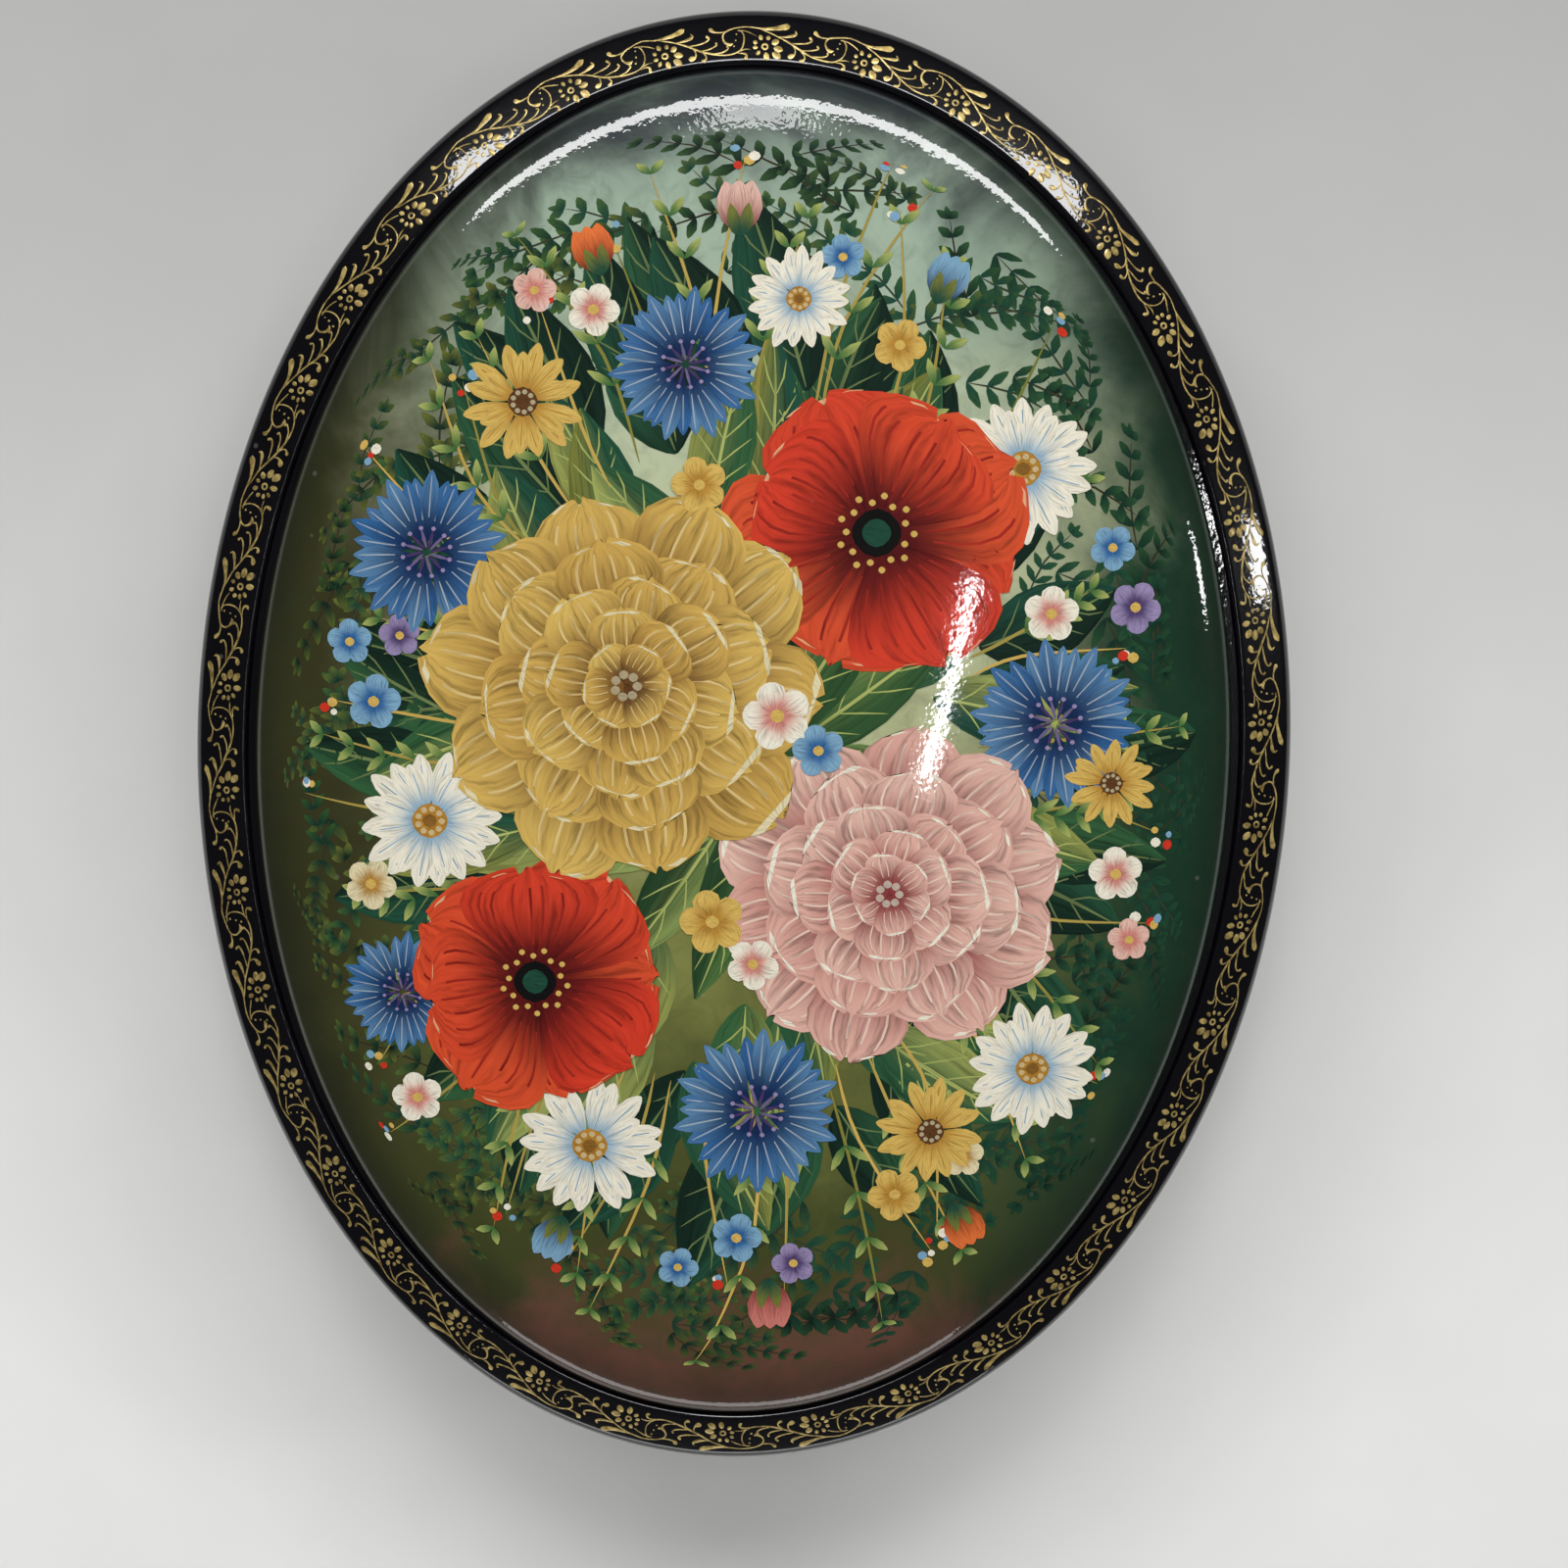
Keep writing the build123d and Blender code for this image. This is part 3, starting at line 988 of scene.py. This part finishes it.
def fade(base, tip, start=0.1, end=0.95):
    return lambda u, v: mix(base, tip, smooth(start, end, u))


def bow(canvas, start, middle, end, width, tint, cells, over=None, level=None):
    points = [(*start, width * 0.8), (*middle, width), (*end, width * 0.5)]
    dab(canvas, ribbon(points, 0.25), tint, (cells, 1), over=over, level=level)


def dot(canvas, centre, radius, tint, cells=(4, 4), over=None):
    start = (centre[0] - radius, centre[1])
    return dab(canvas, petal(start, 0, radius * 2, radius * 2), tint, cells, over=over)


def polar(centre, angle, reach):
    turn = math.radians(angle)
    return Vector((centre[0] + math.cos(turn) * reach, centre[1] + math.sin(turn) * reach))


# Leaves and flowers; in their forms, sizes are shares of the whole and angles are in degrees

leafForm = {
    "petal": {"belly": 0.85, "blunt": 0.8},
    "rib": ((0.02, 0.97), (-0.05, 0.05)),
    "veins": [0.16 + 0.17 * i for i in range(4)],
    "veinWidth": 0.11,
}


def leaf(canvas, start, angle, length, width, bend, dark, light, vein, level):
    place = petal(start, angle, length, width, bend, **leafForm["petal"])

    def tint(u, v):
        colour = mix(dark, light, smooth(-0.5, 0.9, v))
        return mix(colour, dark, 0.6 * smooth(0.45, 0.0, u))

    under = dab(canvas, place, tint, (10, 4), level=level)
    dab(canvas, place, vein, (10, 1), *leafForm["rib"], under)
    for root in leafForm["veins"]:
        for side in (-1, 1):
            middle, end = place(root + 0.10, side * 0.40), place(min(root + 0.2, 0.96), side * 0.86)
            bow(canvas, place(root, 0), middle, end, leafForm["veinWidth"], vein, 4, under)


roseForm = {
    # petals in each ring, then their inset, length and width
    "rings": [(10, 0.30, 0.74, 0.62), (8, 0.19, 0.60, 0.58), (8, 0.10, 0.48, 0.46), (6, 0.03, 0.37, 0.38),
              (6, 0, 0.24, 0.24)],
    "ringTurn": 23,
    "unsteady": 6,
    "grow": (0.93, 1.06),
    "bend": 0.09,
    "petal": {"belly": 1.75, "blunt": 0.5, "ruffle": 0.035},
    "veins": [(v, v + 0.05) for v in (-0.5, -0.15, 0.2, 0.55)],
    "veinRun": (0.42, 0.86),
    "edge": ((0.925, 0.972), (-0.85, 0.85)),
    "seeds": 7,
}


def rose(canvas, centre, size, dark, mid, light, edge, spin):
    base = topOf(centre, size)
    for ring, (count, inset, length, width) in enumerate(roseForm["rings"]):
        for k in range(count):
            angle = spin + 360 / count * k + ring * roseForm["ringTurn"] + jitter(roseForm["unsteady"])
            root = polar(centre, angle, inset * size)
            long = length * size * hand.uniform(*roseForm["grow"])
            place = petal(root, angle, long, width * size, jitter(roseForm["bend"]),
                          phase=hand.uniform(0, 6), **roseForm["petal"])
            low = mix(dark, mid, hand.uniform(0.0, 0.35))
            high = mix(light, mid, hand.uniform(0.0, 0.3))
            tint = fade(low, high, 0.2, 0.97)
            under = dab(canvas, place, tint, (10, 6), level=(base, 2 * ring + k % 2))
            for vein in roseForm["veins"]:
                dab(canvas, place, mix(high, edge, 0.35), (6, 1), roseForm["veinRun"], vein, under)
            dab(canvas, place, edge, (10, 1), *roseForm["edge"], under)
    for k in range(roseForm["seeds"]):
        dot(canvas, polar(centre, k * 51, size * 0.06), size * 0.025, mix(dark, edge, 0.5))


poppyForm = {
    # petals as (turn, length), the lowest first
    "petals": [(225, 0.9), (-45, 0.92), (0, 1.0), (90, 0.95), (180, 1.0), (270, 0.96), (45, 0.86),
               (135, 0.82)],
    "petal": {"belly": 2.0, "blunt": 0.45, "ruffle": 0.05},
    "unsteady": 8,
    "bend": 0.06,
    "inset": 0.04,
    "width": 1.12,
    "veins": [v * 0.24 for v in range(-3, 4)],
    "veinWidth": 0.04,
    "edge": ((0.945, 0.98), (-0.85, 0.85)),
    "heart": [(0.17, "ink", (6, 6)), (0.10, "pine", (6, 4))],
    "stamens": 18,
}


def poppy(canvas, centre, size, spin):
    base = topOf(centre, size)
    for k, (turn, stretch) in enumerate(poppyForm["petals"]):
        angle = spin + turn + jitter(poppyForm["unsteady"])
        root = polar(centre, angle, size * poppyForm["inset"])
        place = petal(root, angle, size * stretch, size * poppyForm["width"], jitter(poppyForm["bend"]),
                      phase=hand.uniform(0, 6), **poppyForm["petal"])
        glow = between("scarlet", "orange", hand.uniform(0, 0.45))
        under = dab(canvas, place, fade(hues["maroon"], glow, 0.15, 0.8), (11, 6), level=(base, k))
        for vein in poppyForm["veins"]:
            side = vein + jitter(0.05)
            run, line = (0.3, hand.uniform(0.7, 0.9)), (side, side + poppyForm["veinWidth"])
            dab(canvas, place, between("scarlet", "maroon", 0.55), (6, 1), run, line, under)
        dab(canvas, place, between("orange", "cream", 0.45), (10, 1), *poppyForm["edge"], under)
    for radius, hue, cells in poppyForm["heart"]:
        dot(canvas, centre, size * radius, hues[hue], cells)
    for k in range(poppyForm["stamens"]):
        reach = size * (0.21 + 0.05 * (k % 2))
        dot(canvas, polar(centre, k * 20 + spin, reach), size * 0.024, hues["straw"])


daisyForm = {
    "petal": {"belly": 1.35, "blunt": 0.6},
    "unsteady": 4,
    "grow": (0.92, 1.06),
    "bend": 0.07,
    "inset": 0.16,
    "width": 0.30,
    "length": 0.84,
    "shorter": 0.16,  # petals of the second layer, which is also turned
    "layerTurn": 9,
    "rib": ((0.2, 0.8), (-0.05, 0.06)),
    "heart": 0.25,
    "seeds": 9,
}


def daisy(canvas, centre, size, petals, base, tip, heart, spin):
    below = topOf(centre, size)
    for layer, count in enumerate((petals, petals // 2)):
        for k in range(count):
            angle = spin + 360 / count * k + jitter(daisyForm["unsteady"]) + layer * daisyForm["layerTurn"]
            long = size * (daisyForm["length"] - daisyForm["shorter"] * layer)
            long *= hand.uniform(*daisyForm["grow"])
            root, width = polar(centre, angle, size * daisyForm["inset"]), size * daisyForm["width"]
            place = petal(root, angle, long, width, jitter(daisyForm["bend"]), **daisyForm["petal"])
            tint = fade(base, tip, 0.0, 0.6)
            under = dab(canvas, place, tint, (7, 2), level=(below, 2 * layer + k % 2))
            dab(canvas, place, base, (5, 1), *daisyForm["rib"], under)
    under = dot(canvas, centre, size * daisyForm["heart"], heart, (6, 6))
    for k in range(daisyForm["seeds"]):
        seed = polar(centre, k * 40, size * 0.17)
        dot(canvas, seed, size * 0.045, mix(heart, hues["cream"], 0.55), over=under)
    dot(canvas, centre, size * 0.10, mix(heart, hues["brown"], 0.6), over=under)


cornflowerForm = {
    "florets": 10,
    "lobes": [(-15, 0.86), (15, 0.86), (0, 0.96)],  # turn, length
    "petal": {"belly": 1.6, "blunt": 0.8},
    "inset": 0.12,
    "width": 0.24,
    "rib": ((0.35, 0.92), (-0.08, 0.08)),
    "stamens": 12,
}


def cornflower(canvas, centre, size, spin):
    base = topOf(centre, size)
    for k in range(cornflowerForm["florets"]):
        angle = spin + k * 36 + jitter(5)
        root = polar(centre, angle, size * cornflowerForm["inset"])
        for lobe, length in cornflowerForm["lobes"]:
            place = petal(root, angle + lobe, size * length, size * cornflowerForm["width"],
                          **cornflowerForm["petal"])
            tip = between("blue", "sky", hand.uniform(0.1, 0.5))
            tint = fade(hues["navy"], tip, 0.1, 0.9)
            under = dab(canvas, place, tint, (7, 2), level=(base, 2 * (k % 2) + (lobe == 0)))
            dab(canvas, place, mix(tip, hues["white"], 0.35), (5, 1), *cornflowerForm["rib"], under)
    for k in range(cornflowerForm["stamens"]):
        inner, outer = polar(centre, k * 30, size * 0.05), polar(centre, k * 30 + 14, size * 0.32)
        tint = between("violet", "lilac", 0.4 * (k % 2))
        bow(canvas, inner, (inner + outer) / 2, outer, size * 0.022, tint, 4)
        dot(canvas, outer, size * 0.03, hues["lilac"])


posyForm = {"layers": (0, 1, 0, 1, 2), "petal": {"belly": 1.4, "blunt": 0.5}, "heart": 0.2}


def posy(canvas, centre, size, base, tip, spin):
    below = topOf(centre, size)
    for k, layer in enumerate(posyForm["layers"]):
        angle = spin + k * 72
        root = polar(centre, angle, size * 0.08)
        place = petal(root, angle, size * 0.9, size * 0.86, **posyForm["petal"])
        dab(canvas, place, fade(base, tip, 0.1, 0.7), (6, 4), level=(below, layer))
    dot(canvas, centre, size * posyForm["heart"], hues["straw"])


def bud(canvas, root, angle, size, base, tip):
    for lean in (-22, 22, 0):
        place = petal(root, angle + lean, size, size * 0.5, -lean / 160, belly=1.3, blunt=0.7)
        dab(canvas, place, fade(base, tip), (7, 3))
    for lean in (-30, 30):
        place = petal(root, angle + lean, size * 0.6, size * 0.26, -lean / 120, blunt=0.8)
        dab(canvas, place, fade(hues["pine"], hues["olive"]), (6, 2))


def spray(canvas, root, angle, length, low, high, layer):
    # a curved twig with pairs of small leaves
    turn = jitter(22)
    middle = polar(root, angle, length * 0.5)
    end = polar(middle, angle + turn, length * 0.5)
    onTwig, green = coat("thicket", layer + 1), fade(low, high)
    bow(canvas, root, middle, end, 0.13, mix(low, hues["brown"], 0.3), 6, level=coat("thicket", layer))
    for j in range(6):
        spot = middle.lerp(end, j / 2.5 - 1) if j > 2 else Vector(root).lerp(middle, j / 2.5)
        long = length * (0.28 - 0.025 * j)
        for lean in (-48, 48):
            place = petal(spot, angle + lean + turn * (j > 2), long, length * 0.1, blunt=0.8)
            dab(canvas, place, green, (4, 2), level=onTwig)
    place = petal(end, angle + turn, length * 0.16, length * 0.08, blunt=0.8)
    dab(canvas, place, green, (4, 2), level=onTwig)


# Thicket: dim greenery that fills the edge of the picture, deeper green to the right

thicket = {
    "sprays": 150,
    "turn": 137.5,
    "half": (57, 79),
    "reach": (0.58, 0.34),  # where it starts, and how much further it goes
    "length": (9, 14),
    "lean": (40, 70),  # least, and how much more at the edge
    "dimming": 0.45,
}


def makeThicket():
    canvas = newCanvas()
    for k in range(thicket["sprays"]):
        angle = k * thicket["turn"] + jitter(8)
        reach = thicket["reach"][0] + thicket["reach"][1] * (k / thicket["sprays"]) ** 0.6
        turn = math.radians(angle)
        halfX, halfY = thicket["half"]
        root = Vector((math.cos(turn) * halfX * reach, math.sin(turn) * halfY * reach))
        cool = between("forest", "pine", hand.random())
        warm = between("leaf", "olive", hand.random())
        deep = between("pine", "leaf", 0.3 + 0.3 * max(math.sin(turn), 0.0))
        high = mix(warm, deep, smooth(-20, 25, root.x + jitter(15)))
        dim = 1.0 - thicket["dimming"] * smooth(0.75, 1.0, reach)
        least, more = thicket["lean"]
        lean = hand.choice((-1, 1)) * hand.uniform(least, least + more * smooth(0.6, 0.9, reach))
        spray(canvas, root, angle + lean, hand.uniform(*thicket["length"]), shade(cool, dim),
              shade(high, 0.8 * dim), 2 * (k % 3))
    hangCanvas(canvas, "painted_thicket")


# Foliage: dark leaves behind, lighter ones over them, then stems and grasses

leafRings = [
    {
        "coat": "backLeaves",
        "count": 44,
        "unsteady": 4,
        "start": (34, 46),
        "turn": 25,
        "length": (17, 24),
        "width": (8, 11),
        "bend": 0.15,
        "dark": lambda: hues["forest"],
        "light": lambda: between("pine", "leaf", hand.uniform(0, 0.5)),
        "vein": between("pine", "lime", 0.35),
    },
    {
        "coat": "frontLeaves",
        "count": 36,
        "unsteady": 5,
        "start": (20, 40),
        "turn": 30,
        "length": (16, 23),
        "width": (7, 10),
        "bend": 0.2,
        "dark": lambda: between("pine", "leaf", hand.uniform(0, 0.6)),
        "light": lambda: between("olive", "lime", hand.uniform(0, 0.8)),
        "vein": hues["lime"],
    },
]
heartLeaves = {"count": 12, "centre": (2, 0), "inset": 3, "length": (20, 27), "width": 8.5, "bend": 0.15}
stems = {
    "count": 46,
    "reach": (62, 76),
    "root": 40,
    "bend": 9,
    "width": 0.2,
    "leafPairs": 5,
    "leafFrom": 50,
    "berries": ("scarlet", "straw", "white", "sky"),
    "berrySpread": 1.6,
    "berrySize": (0.4, 0.7),
}
ovalSqueeze = {"leaves": 0.72, "stems": 0.70}  # how the bunch narrows across


def around(count, unsteady, squeeze):
    for k in range(count):
        turn = math.radians(k * 360 / count + jitter(unsteady))
        yield k, Vector((math.cos(turn) * squeeze, math.sin(turn)))


def headingOf(out):
    return math.degrees(math.atan2(out.y, out.x))


def addStem(canvas, k, out):
    reach = hand.uniform(*stems["reach"])
    bend = Vector((-out.y, out.x)) * jitter(stems["bend"])
    end = out * reach + bend
    tint = between("olive", "straw", hand.random())
    bow(canvas, out * stems["root"], out * (reach * 0.75), end, stems["width"], tint, 12,
        level=coat("stems", k % 2))
    if k % 2:
        for j in range(stems["leafPairs"]):
            spot = out * lerp(stems["leafFrom"], reach, j / 4) + bend * (j / 4) ** 2
            for lean in (-42, 42):
                place = petal(spot, headingOf(out) + lean, 3.6 - 0.3 * j, 1.1, blunt=0.8)
                green = fade(hues["leaf"], hues["lime"])
                dab(canvas, place, green, (5, 2), level=coat("stems", 2 + k % 3))
    else:
        for j in range(len(stems["berries"])):
            spot = end + Vector((jitter(stems["berrySpread"]), jitter(stems["berrySpread"])))
            hue = stems["berries"][(k + j) % len(stems["berries"])]
            dot(canvas, spot, hand.uniform(*stems["berrySize"]), hues[hue])


def makeFoliage():
    canvas = newCanvas()
    for ring in leafRings:
        for k, out in around(ring["count"], ring["unsteady"], ovalSqueeze["leaves"]):
            start = out * hand.uniform(*ring["start"])
            heading = headingOf(out) + jitter(ring["turn"])
            leaf(canvas, start, heading, hand.uniform(*ring["length"]), hand.uniform(*ring["width"]),
                 jitter(ring["bend"]), ring["dark"](), ring["light"](), ring["vein"],
                 coat(ring["coat"], k % 4))
    for k in range(heartLeaves["count"]):
        start = polar(heartLeaves["centre"], k * 30, heartLeaves["inset"])
        leaf(canvas, start, k * 30 + jitter(12), hand.uniform(*heartLeaves["length"]),
             heartLeaves["width"], jitter(heartLeaves["bend"]), between("forest", "leaf", hand.random()),
             between("leaf", "lime", hand.random()), hues["lime"], coat("heartLeaves", k % 4))
    for k, out in around(stems["count"], 4, ovalSqueeze["stems"]):
        addStem(canvas, k, out)
    hangCanvas(canvas, "painted_foliage")


# Blossoms: places and sizes in the flat drawing, in the order in which they are laid

bouquet = {
    "buds": [
        ((-2, 62), 94, 6.5, "wine", "blush"), ((-18, 57), 112, 6.0, "maroon", "orange"),
        ((21, 55), 66, 6.0, "navy", "sky"), ((5, -63), -86, 6.5, "wine", "rose"),
        ((-20, -56), -112, 6.0, "navy", "sky"), ((27, -53), -62, 6.0, "maroon", "orange"),
    ],
    "posies": [
        ((-44, 6), 3.4, "blue", "sky"), ((-47, 13), 2.8, "blue", "sky"),
        ((-41, 14), 2.6, "violet", "lilac"), ((46, 20), 3.2, "violet", "lilac"),
        ((43, 27), 2.8, "blue", "sky"), ((1, -58), 3.2, "blue", "sky"),
        ((8, -61), 2.7, "violet", "lilac"), ((-6, -62), 2.6, "blue", "sky"),
        ((17, 50), 3.2, "ochre", "straw"), ((-19, 53), 3.2, "rose", "white"),
        ((-26, 55), 2.7, "rose", "blush"), ((45, -12), 3.4, "rose", "white"),
        ((47, -20), 2.7, "rose", "blush"), ((-44, -16), 3.2, "ochre", "cream"),
        ((-38, -42), 3.2, "rose", "white"), ((20, -52), 3.4, "ochre", "straw"),
        ((28, -47), 2.7, "ochre", "cream"), ((10, 60), 2.7, "blue", "sky"),
    ],
    "cornflowers": [
        ((37, 6), 9.5), ((-38, 24), 9.0), ((3, -42), 9.5), ((-8, 47), 8.5), ((-40, -29), 7.0),
    ],
    # petals, colours and spread of turns, then places and sizes
    "daisies": [
        (16, ("sky", "white", "ochre"), 24,
         [((32, 36), 8.5), ((-37, -8), 8.5), ((-17, -47), 8.5), ((36, -36), 8.0), ((5, 55), 6.0)]),
        (12, ("ochre", "straw", "brown"), 30, [((-27, 42), 7.0), ((24, -44), 6.5), ((44, -1), 5.5)]),
    ],
    "poppies": [((15, 28), 17, 20), ((-24, -27), 15, 55)],
    "roses": [
        ((18, -15), 20, ("wine", "rose", "blush", "white"), 10),
        ((-14, 9), 22.5, ("brown", "ochre", "straw", "cream"), 33),
    ],
    "frontPosies": [
        ((4, 6), 4.2, "rose", "white"), ((9, 2), 3.2, "blue", "sky"), ((-3, -19), 4.0, "ochre", "straw"),
        ((2, -24), 3.2, "rose", "white"), ((36, 19), 3.4, "rose", "white"),
        ((-6, 33), 3.4, "ochre", "straw"),
    ],
}


def makeBlossoms():
    canvas = newCanvas()

    def layPosies(posies):
        for spot, size, low, tip in posies:
            posy(canvas, spot, size, hues[low], hues[tip], hand.uniform(0, 72))

    for root, angle, size, low, tip in bouquet["buds"]:
        bud(canvas, root, angle, size, hues[low], hues[tip])
    layPosies(bouquet["posies"])
    for spot, size in bouquet["cornflowers"]:
        cornflower(canvas, spot, size, hand.uniform(0, 36))
    for petals, tones, spread, places in bouquet["daisies"]:
        for spot, size in places:
            daisy(canvas, spot, size, petals, *(hues[tone] for tone in tones), hand.uniform(0, spread))
    for spot, size, spin in bouquet["poppies"]:
        poppy(canvas, spot, size, spin)
    for spot, size, tones, spin in bouquet["roses"]:
        rose(canvas, spot, size, *(hues[tone] for tone in tones), spin)
    layPosies(bouquet["frontPosies"])
    hangCanvas(canvas, "painted_blossoms")


makeThicket()
makeFoliage()
makeBlossoms()
print("paint build-up in mm", max(layers.values()))


# CAD pieces that stay, in their finishes

finishes = {
    "body_wall": black,
    "lip_ring": red,
    "body_hinge_leaf": brass,
    "lid_hinge_leaf": brass,
    "body_leaf_pins": brass,
    "lid_leaf_pins": brass,
    "hinge_pin": steel,
}
for name, material in finishes.items():
    nodes[name].data.materials.clear()
    nodes[name].data.materials.append(material)


# Studio: pale floor with painted shade towards the back, soft lamps, camera almost straight above the lid

studio = {
    "lens": 85.0,
    "sensor": 36.0,
    "clip": 0.01,
    "distance": 0.508,
    "tilt": 8.0,
    "roll": 1.8,
    "aim": (5.7 * mm, -4.0 * mm, 43.5 * mm),
    "floorSize": 14.0,
    # painted shade: the floor's colour darkens from near to far, as if less light reached the back
    "floorLitNear": (0.92, 0.92, 0.905),
    "floorShadedFar": (0.465, 0.465, 0.455),
    "floorShadeFade": (-0.13, 0.15),  # from y to y, near to far
    "floorGrain": (30.0, 3.0, 0.55),
    "floorMottle": (0.97, 0.97, 0.97),
    "floorRough": 0.9,
    "lampDistance": 1.6,
    "world": 0.07,
}
# azimuth: degrees from the hinge end towards +X; zenith: degrees from straight up
lamps = [
    {"name": "topTube", "azimuth": 0, "zenith": 41, "size": (2.3, 0.17), "power": 21.0},
    # a soft light that the lacquer doesn't mirror
    {"name": "ceiling", "azimuth": 0, "zenith": 4, "size": (0.9, 0.9), "power": 7.0, "mirrored": False},
    {"name": "topSpot", "azimuth": -2, "zenith": 33, "size": (0.26, 0.26), "power": 2.2},
    {"name": "lowFill", "azimuth": 180, "zenith": 81, "size": (1.8, 0.36), "power": 6.0},
    {"name": "sideSpot", "azimuth": 83, "zenith": 57, "size": (0.14, 0.10), "power": 1.0},
    {"name": "streak", "azimuth": 123.7, "zenith": 8.8, "size": (0.015, 0.19), "power": 0.36,
     "turn": -24},
]


def aimed(along, away):
    # a turn whose local X runs along and whose local Z points away from what is looked at
    return Matrix((along, away.cross(along), away)).transposed().to_4x4()


def makeCamera():
    tilt, roll = math.radians(studio["tilt"]), math.radians(studio["roll"])
    away = Vector((0, math.sin(tilt), math.cos(tilt)))
    data = bpy.data.cameras.new("camera")
    data.lens = studio["lens"]
    data.sensor_width = studio["sensor"]
    data.clip_start = studio["clip"]
    camera = bpy.data.objects.new("camera", data)
    place = Matrix.Translation(Vector(studio["aim"]) + away * studio["distance"])
    camera.matrix_world = place @ aimed(Vector((1, 0, 0)), away) @ Matrix.Rotation(roll, 4, "Z")
    scene.collection.objects.link(camera)
    scene.camera = camera


def makeFloor():
    bm = bmesh.new()
    bmesh.ops.create_grid(bm, x_segments=2, y_segments=2, size=studio["floorSize"] / 2)
    mesh = bpy.data.meshes.new("floor")
    bm.to_mesh(mesh)
    bm.free()
    material, tree, shader = newMaterial("floorPaper")
    axes = addNode(tree, "ShaderNodeSeparateXYZ")
    tree.links.new(objectPlace(tree), axes.inputs[0])
    # painted shade: the floor darkens towards the far side
    shadeShare = addRange(tree, axes.outputs["Y"], *studio["floorShadeFade"])
    paper = addBlend(tree, shadeShare, studio["floorLitNear"], studio["floorShadedFar"])
    mottle = noiseColour(tree, studio["floorGrain"], (0.3, 0.7), (1.0, 1.0, 1.0), studio["floorMottle"])
    tree.links.new(addBlend(tree, 1.0, paper, mottle, "MULTIPLY"), shader.inputs["Base Color"])
    shader.inputs["Roughness"].default_value = studio["floorRough"]
    mesh.materials.append(material)
    floor = bpy.data.objects.new("floor", mesh)
    scene.collection.objects.link(floor)


def addLamp(lamp):
    azimuth, zenith = math.radians(lamp["azimuth"]), math.radians(lamp["zenith"])
    flat = Vector((math.sin(azimuth), math.cos(azimuth), 0))
    away = flat * math.sin(zenith) + Vector((0, 0, math.cos(zenith)))
    along = Vector((flat.y, -flat.x, 0))
    if "turn" in lamp:
        along = Matrix.Rotation(math.radians(lamp["turn"]), 3, "Z") @ Vector((1, 0, 0))
    along = (along - away * along.dot(away)).normalized()
    data = bpy.data.lights.new(lamp["name"], "AREA")
    data.shape = "RECTANGLE"
    data.size, data.size_y = lamp["size"]
    data.energy = lamp["power"]
    light = bpy.data.objects.new(lamp["name"], data)
    place = Matrix.Translation(Vector((0, 0, mouth)) + away * studio["lampDistance"])
    light.matrix_world = place @ aimed(along, away)
    light.visible_glossy = lamp.get("mirrored", True)
    scene.collection.objects.link(light)


makeCamera()
makeFloor()
for lamp in lamps:
    addLamp(lamp)
world = bpy.data.worlds.new("studioWorld")
world.use_nodes = True
background = world.node_tree.nodes["Background"]
background.inputs["Color"].default_value = (1, 1, 1, 1)
background.inputs["Strength"].default_value = studio["world"]
scene.world = world
scene.view_settings.view_transform = "Standard"
print("studio ready")
